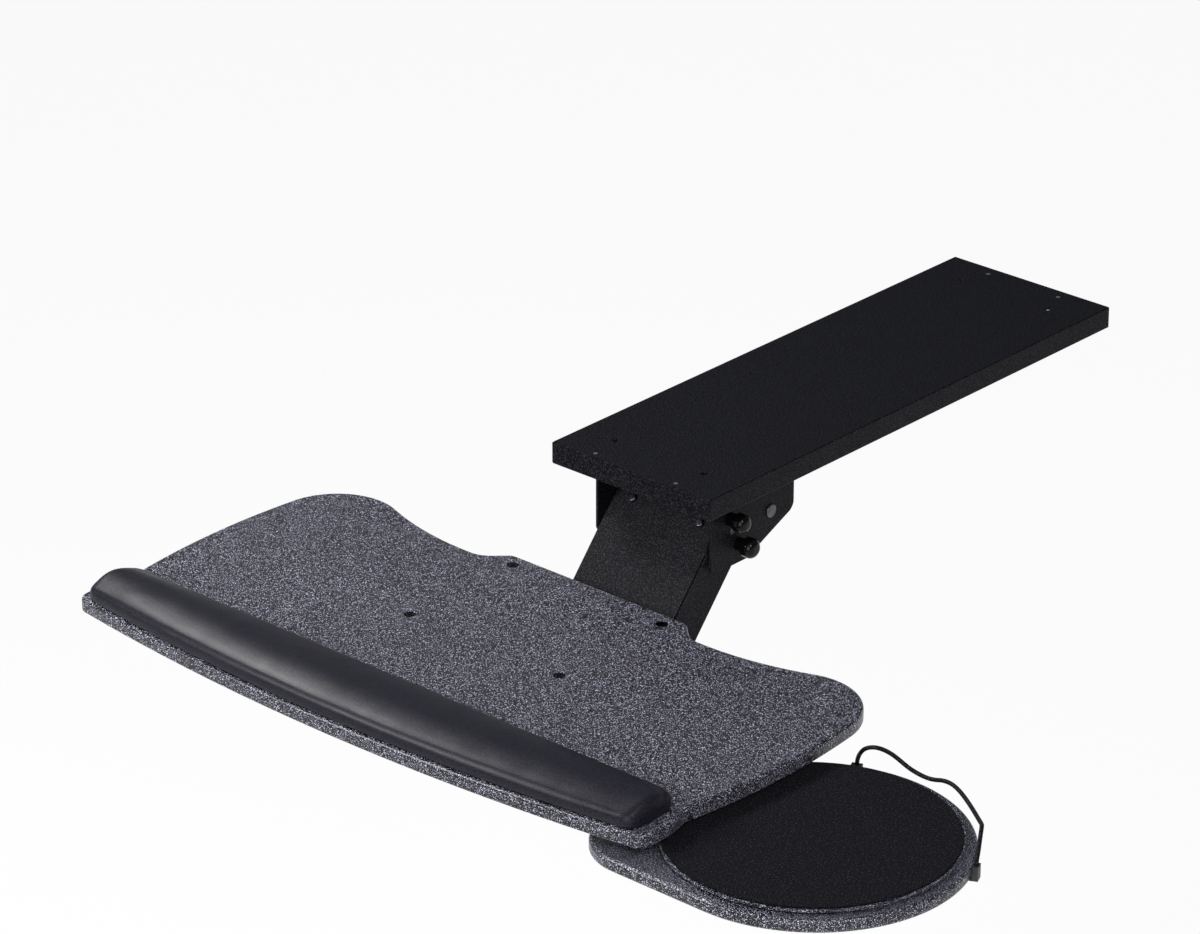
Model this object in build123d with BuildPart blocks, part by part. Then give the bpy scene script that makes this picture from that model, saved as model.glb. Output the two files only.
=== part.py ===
from build123d import *
import os
from math import cos, hypot, pi, radians, sin, sqrt, tan

os.makedirs("parts", exist_ok=True)

# Keyboard tray on a sliding, swivelling and height-adjustable arm, with a wrist rest and a mouse platform.
# The origin is the middle of the track's front end, on the face that lies against the worktop.
# X runs to the user's right, Y away from the user along the track, and Z up. Lengths are in millimetres.

# Worktop track, a channel with lips turned inward
TRACK_LENGTH = 545.0
TRACK_WIDTH = 177.0
TRACK_HEIGHT = 20.0
TRACK_WALL = 2.0
TRACK_LIP = 20.0
TRACK_BEND = 1.2
DESK_HOLE_RADIUS = 2.75
DESK_HOLES_ACROSS = 100.0
DESK_HOLE_END = 35.0
DESK_HOLE_REAR_END = 40.0
CAP_WALL = 2.0
CAP_TAB_WIDTH = 120.0
CAP_TAB_DEPTH = 9.0
CAP_CORNER = 1.5
CAP_RIVET_SPREAD = 90.0
CAP_RIVET_RADIUS = 2.0
CAP_RIVET_HEAD_RADIUS = 3.6
CAP_RIVET_HEAD = 1.4
BUMPER_SPREAD = 80.0
FRONT_BUMPER_RADIUS = 5.0
REAR_BUMPER_RADIUS = 7.0
REAR_BUMPER_HEIGHT = 13.0
REAR_BUMPER_END = 12.0
REAR_SCREW_RADIUS = 2.0
REAR_SCREW_HEAD_RADIUS = 4.0
REAR_SCREW_HEAD = 2.0

# Carriage that slides in the track
GLIDE_LENGTH = 140.0
GLIDE_PLATE = 3.0
GLIDE_DROP = 9.0
GLIDE_FRONT = 10.0
GLIDE_CORNER = 6.0
RUNNER_WIDTH = 14.0
RUNNER_GRIP = 10.0
RUNNER_EDGE = 1.0
HUB_RADIUS = 25.0
SWIVEL_BOLT_RADIUS = 5.0
SWIVEL_HEAD_RADIUS = 10.0
SWIVEL_HEAD = 4.0
SWIVEL_WASHER_RADIUS = 32.0
SWIVEL_WASHER = 2.0
SWIVEL_NUT_RADIUS = 9.2
SWIVEL_NUT = 8.0
THRUST_WASHER_RADIUS = 12.0
THRUST_WASHER = 1.5
BOLT_TAIL = 1.5

# Clearances
SLIDE_CLEARANCE = 0.3
FACE_CLEARANCE = 0.1
SHAFT_CLEARANCE = 0.05
PIN_CLEARANCE = 0.08
OPEN_PIVOT_CLEARANCE = 0.3
SWIVEL_GAP = 3.0

# Swivel bracket, a bent plate with two cheeks
CHEEK_ROOM = 4.0
CHEEK_WALL = 2.5
CHEEK_FRONT_SETBACK = 27.3
CHEEK_DROP = 64.7
CHEEK_FLAT = 46.7
CHEEK_RISE_ANGLE = 24.0
BRACKET_LENGTH = 107.7
CHEEK_CORNER = 6.0
CHEEK_HEEL = 10.0
BRACKET_BEND = 2.0

# Arm between the two pivots
ARM_SLOPE = 49.5
ARM_LENGTH = 108.0
ARM_SPAN = 117.0
ARM_WALL = 2.0
ARM_TOP = 23.5
ARM_BACK = 13.9
ARM_OVERHANG = 14.0
WEB_UPPER = 7.5
WEB_LOWER = 88.0
ARM_NOSE = 32.0
ARM_NOSE_DROP = 17.5
ARM_CORNER = 12.0
ARM_SMALL_CORNER = 6.0
COVER_WALL = 1.4
COVER_INSET = 2.0
COVER_SCREW_SPREAD = 75.6
COVER_SCREW_OFFSET = 1.0
COVER_SCREW_RADIUS = 2.0
COVER_SCREW_HEAD_RADIUS = 4.0
COVER_SCREW_HEAD = 2.4
COVER_SCREW_LENGTH = 7.0
PIVOT_SETBACK = 35.3
PIVOT_RAISE = 17.7
SHAFT_RADIUS = 5.0
SHAFT_HEAD_RADIUS = 8.0
SHAFT_HEAD = 3.0
SHAFT_THREAD = 9.0
SHAFT_THREAD_RADIUS = 4.0
BUSH_WALL = 2.0
BUSH_FLANGE_RADIUS = 10.0
LOWER_BUSH_FLANGE_RADIUS = 8.0
BUSH_INNER = 2.0

# Friction quadrant and its tension knob
QUADRANT_RADIUS = 35.0
QUADRANT_WALL = 1.5
QUADRANT_HUB = 16.0
QUADRANT_HALF_ANGLE = 55.0
QUADRANT_CORNER = 3.0
SHOE_FORWARD = 11.6
SHOE_RAISE = 27.0
SHOE_RADIUS = 4.5
SHOE_SCREW_RADIUS = 3.0

# Round clamping knobs on the right cheek
KNOB_HUB_RADIUS = 6.0
KNOB_HUB_LENGTH = 9.0
KNOB_RADIUS = 9.0
KNOB_LENGTH = 11.0
KNOB_ROUND = 6.5
TENSION_KNOB_RADIUS = 8.4

# Levelling link, a bar that keeps the tray's angle while the arm swings
LINK_OFFSET = 16.0
LINK_OFFSET_ANGLE = 118.5
LINK_WALL = 3.0
LINK_HALF_HEIGHT = 4.5
LINK_GAP = 0.7
LINK_PIN_RADIUS = 3.0
LINK_PIN_HEAD_RADIUS = 4.3
LINK_PIN_HEAD = 1.0
LINK_PIN_MARGIN = 0.2
SLOT_MARGIN = 0.3
LIFT_UP = 55.0
LIFT_DOWN = 12.0
STOP_MARGIN_ANGLE = 1.5

# Counterbalance springs round the main shaft
SPRING_WIRE_RADIUS = 1.75
SPRING_RADIUS = 10.5
SPRING_PITCH = 4.3
SPRING_TURNS = 6
SPRING_INNER = 12.0
SPRING_FIXED_LEG = 47.0
SPRING_ARM_LEG = 54.0
SPRING_LEG_TILT = 9.5
SPRING_START_ANGLE = 90.0
ROD_RADIUS = 4.0
ROD_SETBACK = 41.4
ROD_HEAD_RADIUS = 6.0
ROD_HEAD = 2.0

# Head between the arm and the tray
HEAD_ROOM = 4.5
HEAD_WALL = 3.0
HEAD_BOSS_RADIUS = 12.0
HEAD_LUG_RADIUS = 6.5
HEAD_CROSS_WIDTH = 30.0
HEAD_CROSS_DROP = 10.5
TILT_FORWARD = 54.5
TILT_RAISE = 18.1
TILT_PIN_RADIUS = 4.0
TILT_HEAD_RADIUS = 6.5
TILT_HEAD = 2.5
TILT_KNOB_HUB_RADIUS = 7.0
TILT_KNOB_HUB = 6.0
TILT_KNOB_RADIUS = 14.0
TILT_KNOB_LENGTH = 11.0
TILT_KNOB_LOBES = 6
TILT_KNOB_SCALLOP_RADIUS = 4.5
TILT_KNOB_SCALLOP_OFFSET = 16.0
TILT_KNOB_ROUND = 1.5

# Bracket under the tray
TRAY_PLATE_WIDTH = 200.0
TRAY_PLATE_DEPTH = 154.0
TRAY_PLATE_WALL = 2.5
TRAY_PLATE_CORNER = 10.0
TRAY_PLATE_LIP = 8.0
TRAY_PLATE_LIP_LENGTH = 110.0
TRAY_PLATE_SLOT_LENGTH = 90.0
TRAY_PLATE_SLOT_WIDTH = 22.0
TRAY_PLATE_SLOT_X = 70.0
EAR_WALL = 3.0
EAR_GAP = 0.5
EAR_RADIUS = 12.0
EAR_BASE = 48.0
EAR_BASE_FORWARD = 6.0

# Tray board
TRAY_LIFT = 26.0
TRAY_REAR_BEHIND_PIN = 20.7
TRAY_THICKNESS = 13.0
TRAY_HALF_WIDTH = 320.0
TRAY_SCREW_REAR_MARGIN = 15.4
TRAY_DEPTH = 326.2
TRAY_TAB_HALF = 98.0
TRAY_SLOPE_RUN = 20.0
TRAY_DIP_DEPTH = 19.0
TRAY_LOBE_HALF = 300.0
TRAY_LOBE_RISE = 34.3
TRAY_SAG_HALF = 202.0
TRAY_SAG_DEPTH = 11.1
TRAY_WIDEST_BEHIND_FRONT = 171.0
TRAY_NOTCH_HALF = 311.0
TRAY_NOTCH_BEHIND_FRONT = 81.0
TRAY_EAR_HALF = 316.5
TRAY_EAR_BEHIND_FRONT = 56.0
TRAY_CORNER_BEHIND_FRONT = 23.4
TRAY_SHOULDER_RADIUS = 12.0
TRAY_DIP_RADIUS = 26.0
TRAY_LOBE_RADIUS = 58.0
TRAY_EAR_RADIUS = 14.0
TRAY_CORNER_RADIUS = 12.0
TRAY_TOP_ROUND = 3.5
TRAY_UNDER_ROUND = 2.0
TRAY_SCREWS_ACROSS = 168.0
TRAY_SCREWS_ALONG = 126.6
TRAY_SCREW_RADIUS = 2.5
TRAY_SCREW_HEAD_RADIUS = 5.2
TRAY_SCREW_SINK = 0.4
TRAY_SCREW_CLEARANCE = 0.25
TRAY_SCREW_CROSS = 5.4
TRAY_SCREW_CROSS_WIDTH = 1.1
TRAY_SCREW_CROSS_DEPTH = 1.5
TRAY_NUT_RADIUS = 4.6
TRAY_NUT = 4.0

# Wrist rest
REST_HALF_LENGTH = 305.0
REST_FRONT_INSET = 0.8
REST_BACK_BEHIND_FRONT = 80.0
REST_FRONT_HEIGHT = 14.5
REST_CROWN_HEIGHT = 18.5
REST_CROWN_BEHIND_FRONT = 36.0
REST_BACK_HEIGHT = 14.8
REST_FRONT_CORNER = 10.0
REST_BACK_CORNER = 16.0
REST_TOP_ROUND = 7.0
REST_TUCK = 2.0
REST_BASE = 2.0
REST_BASE_INSET = 6.0

# Mouse platform, seen from above it lies 40 degrees to the right rear of its pivot
MOUSE_PIVOT_X = 272.3
MOUSE_PIVOT_BEHIND_FRONT = 40.4
MOUSE_ANGLE = 39.6
MOUSE_REACH = 153.4
MOUSE_NOSE_OFFSET = 32.0
MOUSE_NOSE_RADIUS = 52.0
MOUSE_RIM = 9.5
PLATFORM_THICKNESS = 11.5
PLATFORM_ROUND = 3.5
PAD_RADIUS = 120.0
PAD_FABRIC = 1.5
PAD_DISC = 2.2
PAD_FOOT = 1.8
PAD_FOOT_INSET = 8.0
PAD_EDGE = 0.5
MOUSE_BOLT_RADIUS = 4.0
MOUSE_BOLT_HEAD_RADIUS = 8.0
MOUSE_BOLT_HEAD = 3.0
MOUSE_BOLT_RECESS = 0.3
MOUSE_SPACER_RADIUS = 15.0
MOUSE_SPACER = 8.0
MOUSE_WASHER_RADIUS = 10.0
MOUSE_WASHER = 1.5
MOUSE_NUT_RADIUS = 7.4
MOUSE_NUT = 6.0

# Wire guard behind the mouse pad, held by two clips on the platform's rim
WIRE_RADIUS = 1.8
CLIP_WIDTH = 9.0
CLIP_BODY = 5.0
CLIP_FOOT = 1.5
CLIP_FOOT_DEPTH = 12.0
CLIP_FOOT_ANGLE = 4.2
CLIP_DROP = 1.0
CLIP_RIGHT_ANGLE = 24.0
CLIP_LEFT_ANGLE = 114.0
WIRE_GRIP = 13.0
WIRE_RIM_GAP = 2.4
# Each point is an angle round the pad, the gap outside the rim and the height over the platform
WIRE_LEFT_BEND = (CLIP_LEFT_ANGLE, WIRE_RIM_GAP, 7.0)
WIRE_ROUTE = (
    (111.5, -2.0, 16.0),
    (106.0, -3.5, 20.5),
    (98.0, -3.5, 17.0),
    (89.0, -3.5, 9.5),
    (79.0, -3.5, 10.0),
    (70.5, -2.5, 16.5),
    (61.0, -0.5, 12.6),
    (50.0, -0.4, 12.0),
)
WIRE_RIGHT_BEND = (37.0, 2.1, 18.0)
WIRE_RIGHT_KNEE = (CLIP_RIGHT_ANGLE, WIRE_RIM_GAP, 7.0)
WIRE_BEND_RADIUS = 4.0
WIRE_SWEEP_RADIUS = 16.0

CUT = 1.0

# Heights and places that follow from the sizes above
BRACKET_TOP = -(TRACK_HEIGHT + SWIVEL_GAP)
BRACKET_UNDER = BRACKET_TOP - CHEEK_WALL
CHEEK_BOTTOM = BRACKET_TOP - CHEEK_DROP
CHEEK_FRONT = CHEEK_FRONT_SETBACK
SWIVEL_Y = GLIDE_FRONT + GLIDE_LENGTH / 2
DESK_HOLES_ALONG = TRACK_LENGTH - DESK_HOLE_END - DESK_HOLE_REAR_END
ARM_OUTER = ARM_SPAN / 2
ARM_INNER = ARM_OUTER - ARM_WALL
CHEEK_INNER = ARM_OUTER + CHEEK_ROOM
CHEEK_OUTER = CHEEK_INNER + CHEEK_WALL
CHEEK_SPAN = 2 * CHEEK_OUTER
PIVOT_Y = CHEEK_FRONT + PIVOT_SETBACK
PIVOT_Z = CHEEK_BOTTOM + PIVOT_RAISE
ARM_DIRECTION = (0, -cos(radians(ARM_SLOPE)), -sin(radians(ARM_SLOPE)))
ARM_NORMAL = (0, ARM_DIRECTION[2], -ARM_DIRECTION[1])
LOWER_Y = PIVOT_Y + ARM_LENGTH * ARM_DIRECTION[1]
LOWER_Z = PIVOT_Z + ARM_LENGTH * ARM_DIRECTION[2]
LINK_DY = LINK_OFFSET * cos(radians(LINK_OFFSET_ANGLE))
LINK_DZ = LINK_OFFSET * sin(radians(LINK_OFFSET_ANGLE))
LINK_OUTER = ARM_INNER - LINK_GAP
LINK_INNER = LINK_OUTER - LINK_WALL
HEAD_OUTER = ARM_INNER - HEAD_ROOM
HEAD_INNER = HEAD_OUTER - HEAD_WALL
TILT_Y = LOWER_Y - TILT_FORWARD
TILT_Z = LOWER_Z + TILT_RAISE
TRAY_UNDER = TILT_Z + TRAY_LIFT
TRAY_TOP = TRAY_UNDER + TRAY_THICKNESS
TRAY_REAR = TILT_Y + TRAY_REAR_BEHIND_PIN
TRAY_FRONT = TRAY_REAR - TRAY_DEPTH
TRAY_SCREW_Y = TRAY_REAR - TRAY_SCREW_REAR_MARGIN - TRAY_SCREWS_ALONG / 2
TRAY_PLATE_UNDER = TRAY_UNDER - TRAY_PLATE_WALL
EAR_OUTER = HEAD_INNER - EAR_GAP
PLATFORM_TOP = TRAY_UNDER - MOUSE_SPACER
PLATFORM_UNDER = PLATFORM_TOP - PLATFORM_THICKNESS
MOUSE_PIVOT = (MOUSE_PIVOT_X, TRAY_FRONT + MOUSE_PIVOT_BEHIND_FRONT)
PAD_X = MOUSE_PIVOT[0] + MOUSE_REACH * cos(radians(MOUSE_ANGLE))
PAD_Y = MOUSE_PIVOT[1] + MOUSE_REACH * sin(radians(MOUSE_ANGLE))
NOSE_X = MOUSE_PIVOT[0] + MOUSE_NOSE_OFFSET * cos(radians(MOUSE_ANGLE))
NOSE_Y = MOUSE_PIVOT[1] + MOUSE_NOSE_OFFSET * sin(radians(MOUSE_ANGLE))
RIM_RADIUS = PAD_RADIUS + MOUSE_RIM


def side(x):
    """Plane across the part at x: its local x is Y, its local y is Z, and it faces +X."""
    return Plane.YZ.offset(x)


def along_arm(x, y=PIVOT_Y, z=PIVOT_Z):
    """Plane across the part at x whose local x runs down the arm and local y over it; it faces -X."""
    return Plane(origin=(x, y, z), x_dir=ARM_DIRECTION, z_dir=(-1, 0, 0))


def over_arm(v):
    """Plane at height v over the arm's pivot line, its local x down the arm and local y along X."""
    lean = Plane(origin=(0, PIVOT_Y, PIVOT_Z), x_dir=ARM_DIRECTION, z_dir=ARM_NORMAL)
    return lean.offset(v)


def over(z):
    """Level plane at height z."""
    return Plane.XY.offset(z)


# Track channel with lips, open below between them
with BuildPart() as track_channel:
    with BuildSketch(Plane.XZ):
        with Locations((0, -TRACK_HEIGHT / 2)):
            Rectangle(TRACK_WIDTH, TRACK_HEIGHT)
            Rectangle(TRACK_WIDTH - 2 * TRACK_WALL, TRACK_HEIGHT - 2 * TRACK_WALL, mode=Mode.SUBTRACT)
        with Locations((0, -TRACK_HEIGHT + TRACK_WALL / 2)):
            Rectangle(TRACK_WIDTH - 2 * (TRACK_WALL + TRACK_LIP), TRACK_WALL, mode=Mode.SUBTRACT)
    extrude(amount=-TRACK_LENGTH)
    bends = track_channel.edges().filter_by(Axis.Y).group_by(Axis.X)
    fillet(bends[0] + bends[-1], TRACK_BEND)
    with BuildSketch(Plane.XY):
        with Locations((0, DESK_HOLE_END + DESK_HOLES_ALONG / 2)):
            with GridLocations(DESK_HOLES_ACROSS, DESK_HOLES_ALONG, 2, 2):
                Circle(DESK_HOLE_RADIUS)
        with Locations((0, CAP_TAB_DEPTH / 2)):
            with GridLocations(CAP_RIVET_SPREAD, 0, 2, 1):
                Circle(CAP_RIVET_RADIUS)
        with Locations((0, TRACK_LENGTH - REAR_BUMPER_END)):
            with GridLocations(BUMPER_SPREAD, 0, 2, 1):
                Circle(REAR_SCREW_RADIUS)
    extrude(amount=-TRACK_WALL, mode=Mode.SUBTRACT)
track_channel.part.label = "track_channel"
export_step(track_channel.part, "parts/track_channel.step")

# Front cap, a plate over the channel's end with a tab riveted under its web
with BuildPart() as track_front_cap:
    with BuildSketch(Plane.XZ):
        with Locations((0, -TRACK_HEIGHT / 2)):
            RectangleRounded(TRACK_WIDTH, TRACK_HEIGHT, CAP_CORNER)
    extrude(amount=CAP_WALL)
    with BuildSketch(over(-TRACK_WALL)):
        with Locations((0, (CAP_TAB_DEPTH - CAP_WALL) / 2)):
            Rectangle(CAP_TAB_WIDTH, CAP_TAB_DEPTH + CAP_WALL)
        with Locations((0, CAP_TAB_DEPTH / 2)):
            with GridLocations(CAP_RIVET_SPREAD, 0, 2, 1):
                Circle(CAP_RIVET_RADIUS, mode=Mode.SUBTRACT)
    extrude(amount=-CAP_WALL)
track_front_cap.part.label = "track_front_cap"
export_step(track_front_cap.part, "parts/track_front_cap.step")

# Cap rivets, flush with the web's top
with BuildPart() as cap_rivets:
    with BuildSketch(Plane.XY):
        with Locations((0, CAP_TAB_DEPTH / 2)):
            with GridLocations(CAP_RIVET_SPREAD, 0, 2, 1):
                Circle(CAP_RIVET_RADIUS)
    extrude(amount=-(TRACK_WALL + CAP_WALL))
    with BuildSketch(over(-(TRACK_WALL + CAP_WALL))):
        with Locations((0, CAP_TAB_DEPTH / 2)):
            with GridLocations(CAP_RIVET_SPREAD, 0, 2, 1):
                Circle(CAP_RIVET_HEAD_RADIUS)
    extrude(amount=-CAP_RIVET_HEAD)
    fillet(cap_rivets.edges().group_by(Axis.Z)[0], CAP_RIVET_HEAD / 2)
cap_rivets.part.label = "cap_rivets"
export_step(cap_rivets.part, "parts/cap_rivets.step")

# Rubber bumpers that stop the carriage at both ends of the track
BUMPER_Z = -(GLIDE_DROP + GLIDE_PLATE / 2)
with BuildPart() as front_bumpers:
    with BuildSketch(Plane.XZ):
        with Locations((0, BUMPER_Z)):
            with GridLocations(BUMPER_SPREAD, 0, 2, 1):
                Circle(FRONT_BUMPER_RADIUS)
    extrude(amount=-(GLIDE_FRONT - SLIDE_CLEARANCE))
    fillet(front_bumpers.edges().group_by(Axis.Y)[-1], FRONT_BUMPER_RADIUS / 5)
front_bumpers.part.label = "front_bumpers"
export_step(front_bumpers.part, "parts/front_bumpers.step")

with BuildPart() as rear_bumpers:
    with BuildSketch(over(-TRACK_WALL)):
        with Locations((0, TRACK_LENGTH - REAR_BUMPER_END)):
            with GridLocations(BUMPER_SPREAD, 0, 2, 1):
                Circle(REAR_BUMPER_RADIUS)
                Circle(REAR_SCREW_RADIUS, mode=Mode.SUBTRACT)
    extrude(amount=-REAR_BUMPER_HEIGHT)
rear_bumpers.part.label = "rear_bumpers"
export_step(rear_bumpers.part, "parts/rear_bumpers.step")

with BuildPart() as rear_bumper_screws:
    with BuildSketch(Plane.XY):
        with Locations((0, TRACK_LENGTH - REAR_BUMPER_END)):
            with GridLocations(BUMPER_SPREAD, 0, 2, 1):
                Circle(REAR_SCREW_RADIUS)
    extrude(amount=-(TRACK_WALL + REAR_BUMPER_HEIGHT))
    with BuildSketch(over(-(TRACK_WALL + REAR_BUMPER_HEIGHT))):
        with Locations((0, TRACK_LENGTH - REAR_BUMPER_END)):
            with GridLocations(BUMPER_SPREAD, 0, 2, 1):
                Circle(REAR_SCREW_HEAD_RADIUS)
    extrude(amount=-REAR_SCREW_HEAD)
    fillet(rear_bumper_screws.edges().group_by(Axis.Z)[0], REAR_SCREW_HEAD / 4)
rear_bumper_screws.part.label = "rear_bumper_screws"
export_step(rear_bumper_screws.part, "parts/rear_bumper_screws.step")

# Carriage plate, held by its long edges in two nylon runners
RUNNER_OUTER = TRACK_WIDTH / 2 - TRACK_WALL - SLIDE_CLEARANCE
RUNNER_TOP = -(TRACK_WALL + SLIDE_CLEARANCE)
RUNNER_UNDER = -(TRACK_HEIGHT - TRACK_WALL - SLIDE_CLEARANCE)
GLIDE_HALF_WIDTH = RUNNER_OUTER - RUNNER_WIDTH + RUNNER_GRIP
with BuildPart() as glide_plate:
    with BuildSketch(over(-GLIDE_DROP)):
        with Locations((0, SWIVEL_Y)):
            RectangleRounded(2 * GLIDE_HALF_WIDTH, GLIDE_LENGTH, GLIDE_CORNER)
            Circle(SWIVEL_BOLT_RADIUS, mode=Mode.SUBTRACT)
    extrude(amount=-GLIDE_PLATE)
glide_plate.part.label = "glide_plate"
export_step(glide_plate.part, "parts/glide_plate.step")

with BuildPart() as glide_runners:
    with BuildSketch(Plane.XZ.offset(-GLIDE_FRONT)):
        with Locations((RUNNER_OUTER - RUNNER_WIDTH / 2, (RUNNER_TOP + RUNNER_UNDER) / 2)):
            Rectangle(RUNNER_WIDTH, RUNNER_TOP - RUNNER_UNDER)
        with Locations((GLIDE_HALF_WIDTH - RUNNER_GRIP / 2, BUMPER_Z)):
            Rectangle(RUNNER_GRIP, GLIDE_PLATE, mode=Mode.SUBTRACT)
    extrude(amount=-GLIDE_LENGTH)
    chamfer(glide_runners.edges().filter_by(Axis.Y).group_by(Axis.X)[-1], RUNNER_EDGE)
    mirror(about=Plane.YZ)
glide_runners.part.label = "glide_runners"
export_step(glide_runners.part, "parts/glide_runners.step")

# Swivel: a hub under the carriage plate, a bearing washer, and the bolt, washer and nut that clamp the bracket
with BuildPart() as swivel_hub:
    with BuildSketch(over(-(GLIDE_DROP + GLIDE_PLATE))):
        with Locations((0, SWIVEL_Y)):
            Circle(HUB_RADIUS)
            Circle(SWIVEL_BOLT_RADIUS, mode=Mode.SUBTRACT)
    extrude(amount=BRACKET_TOP + SWIVEL_WASHER + GLIDE_DROP + GLIDE_PLATE)
swivel_hub.part.label = "swivel_hub"
export_step(swivel_hub.part, "parts/swivel_hub.step")

with BuildPart() as swivel_bearing:
    with BuildSketch(over(BRACKET_TOP + SWIVEL_WASHER)):
        with Locations((0, SWIVEL_Y)):
            Circle(SWIVEL_WASHER_RADIUS)
            Circle(SWIVEL_BOLT_RADIUS, mode=Mode.SUBTRACT)
    extrude(amount=-(SWIVEL_WASHER - FACE_CLEARANCE))
swivel_bearing.part.label = "swivel_bearing"
export_step(swivel_bearing.part, "parts/swivel_bearing.step")

THRUST_TOP = BRACKET_UNDER - FACE_CLEARANCE
NUT_TOP = THRUST_TOP - THRUST_WASHER
with BuildPart() as swivel_bolt:
    with BuildSketch(over(-GLIDE_DROP)):
        with Locations((0, SWIVEL_Y)):
            Circle(SWIVEL_HEAD_RADIUS)
    extrude(amount=SWIVEL_HEAD)
    fillet(swivel_bolt.edges().group_by(Axis.Z)[-1], SWIVEL_HEAD / 4)
    with BuildSketch(over(-GLIDE_DROP)):
        with Locations((0, SWIVEL_Y)):
            Circle(SWIVEL_BOLT_RADIUS)
    extrude(amount=NUT_TOP - SWIVEL_NUT - BOLT_TAIL + GLIDE_DROP)
swivel_bolt.part.label = "swivel_bolt"
export_step(swivel_bolt.part, "parts/swivel_bolt.step")

with BuildPart() as swivel_washer:
    with BuildSketch(over(THRUST_TOP)):
        with Locations((0, SWIVEL_Y)):
            Circle(THRUST_WASHER_RADIUS)
            Circle(SWIVEL_BOLT_RADIUS, mode=Mode.SUBTRACT)
    extrude(amount=-THRUST_WASHER)
swivel_washer.part.label = "swivel_washer"
export_step(swivel_washer.part, "parts/swivel_washer.step")

with BuildPart() as swivel_nut:
    with BuildSketch(over(NUT_TOP)):
        with Locations((0, SWIVEL_Y)):
            RegularPolygon(SWIVEL_NUT_RADIUS, 6)
            Circle(SWIVEL_BOLT_RADIUS, mode=Mode.SUBTRACT)
    extrude(amount=-SWIVEL_NUT)
swivel_nut.part.label = "swivel_nut"
export_step(swivel_nut.part, "parts/swivel_nut.step")

# Swivel bracket: a plate bent down into two cheeks that carry the arm's shaft
ROD_Y = PIVOT_Y + ROD_SETBACK
ROD_Z = PIVOT_Z + SPRING_RADIUS + SPRING_WIRE_RADIUS + ROD_RADIUS + FACE_CLEARANCE
SHOE_Y = PIVOT_Y - SHOE_FORWARD
SHOE_Z = PIVOT_Z + SHOE_RAISE
BRACKET_BACK = CHEEK_FRONT + BRACKET_LENGTH
CHEEK_BREAK = CHEEK_FRONT + CHEEK_FLAT
CHEEK_BACK_BOTTOM = CHEEK_BOTTOM + (BRACKET_BACK - CHEEK_BREAK) * tan(radians(CHEEK_RISE_ANGLE))
with BuildPart() as swivel_bracket:
    with BuildSketch(side(-CHEEK_OUTER)) as cheek_outline:
        with BuildLine():
            Polyline(
                (CHEEK_FRONT, CHEEK_BOTTOM),
                (CHEEK_BREAK, CHEEK_BOTTOM),
                (BRACKET_BACK, CHEEK_BACK_BOTTOM),
                (BRACKET_BACK, BRACKET_TOP),
                (CHEEK_FRONT, BRACKET_TOP),
                close=True,
            )
        make_face()
        fillet(cheek_outline.vertices().sort_by_distance((CHEEK_FRONT, CHEEK_BOTTOM))[0], CHEEK_CORNER)
        fillet(cheek_outline.vertices().sort_by_distance((BRACKET_BACK, CHEEK_BACK_BOTTOM))[0], CHEEK_HEEL)
    extrude(amount=CHEEK_SPAN)
    with BuildSketch(Plane.XZ.offset(-CHEEK_FRONT + CUT)):
        with Locations((0, (BRACKET_UNDER + CHEEK_BOTTOM - CUT) / 2)):
            Rectangle(2 * CHEEK_INNER, BRACKET_UNDER - CHEEK_BOTTOM + CUT)
    extrude(amount=-(BRACKET_LENGTH + 2 * CUT), mode=Mode.SUBTRACT)
    fillet(swivel_bracket.edges().filter_by(Axis.Y).group_by(Axis.Z)[-1], BRACKET_BEND)
    with BuildSketch(over(BRACKET_TOP)):
        with Locations((0, SWIVEL_Y)):
            Circle(SWIVEL_BOLT_RADIUS + SHAFT_CLEARANCE)
    extrude(amount=-CHEEK_WALL, mode=Mode.SUBTRACT)
    with BuildSketch(side(-CHEEK_OUTER)):
        with Locations((PIVOT_Y, PIVOT_Z)):
            Circle(SHAFT_RADIUS)
        with Locations((ROD_Y, ROD_Z)):
            Circle(ROD_RADIUS)
    extrude(amount=CHEEK_SPAN, mode=Mode.SUBTRACT)
    with BuildSketch(side(CHEEK_INNER)):
        with Locations((PIVOT_Y + LINK_DY, PIVOT_Z + LINK_DZ)):
            Circle(LINK_PIN_RADIUS)
        with Locations((SHOE_Y, SHOE_Z)):
            Circle(SHOE_SCREW_RADIUS + SHAFT_CLEARANCE)
    extrude(amount=CHEEK_WALL, mode=Mode.SUBTRACT)
swivel_bracket.part.label = "swivel_bracket"
export_step(swivel_bracket.part, "parts/swivel_bracket.step")

# Shaft that the arm turns on, headed at the left and threaded for a knob at the right
with BuildPart() as main_shaft:
    with BuildSketch(side(-CHEEK_OUTER)):
        with Locations((PIVOT_Y, PIVOT_Z)):
            Circle(SHAFT_HEAD_RADIUS)
    extrude(amount=-SHAFT_HEAD)
    fillet(main_shaft.edges().group_by(Axis.X)[0], SHAFT_HEAD / 3)
    with BuildSketch(side(-CHEEK_OUTER)):
        with Locations((PIVOT_Y, PIVOT_Z)):
            Circle(SHAFT_RADIUS)
    extrude(amount=CHEEK_SPAN)
    with BuildSketch(side(CHEEK_OUTER)):
        with Locations((PIVOT_Y, PIVOT_Z)):
            Circle(SHAFT_THREAD_RADIUS)
    extrude(amount=SHAFT_THREAD)
main_shaft.part.label = "main_shaft"
export_step(main_shaft.part, "parts/main_shaft.step")

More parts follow.
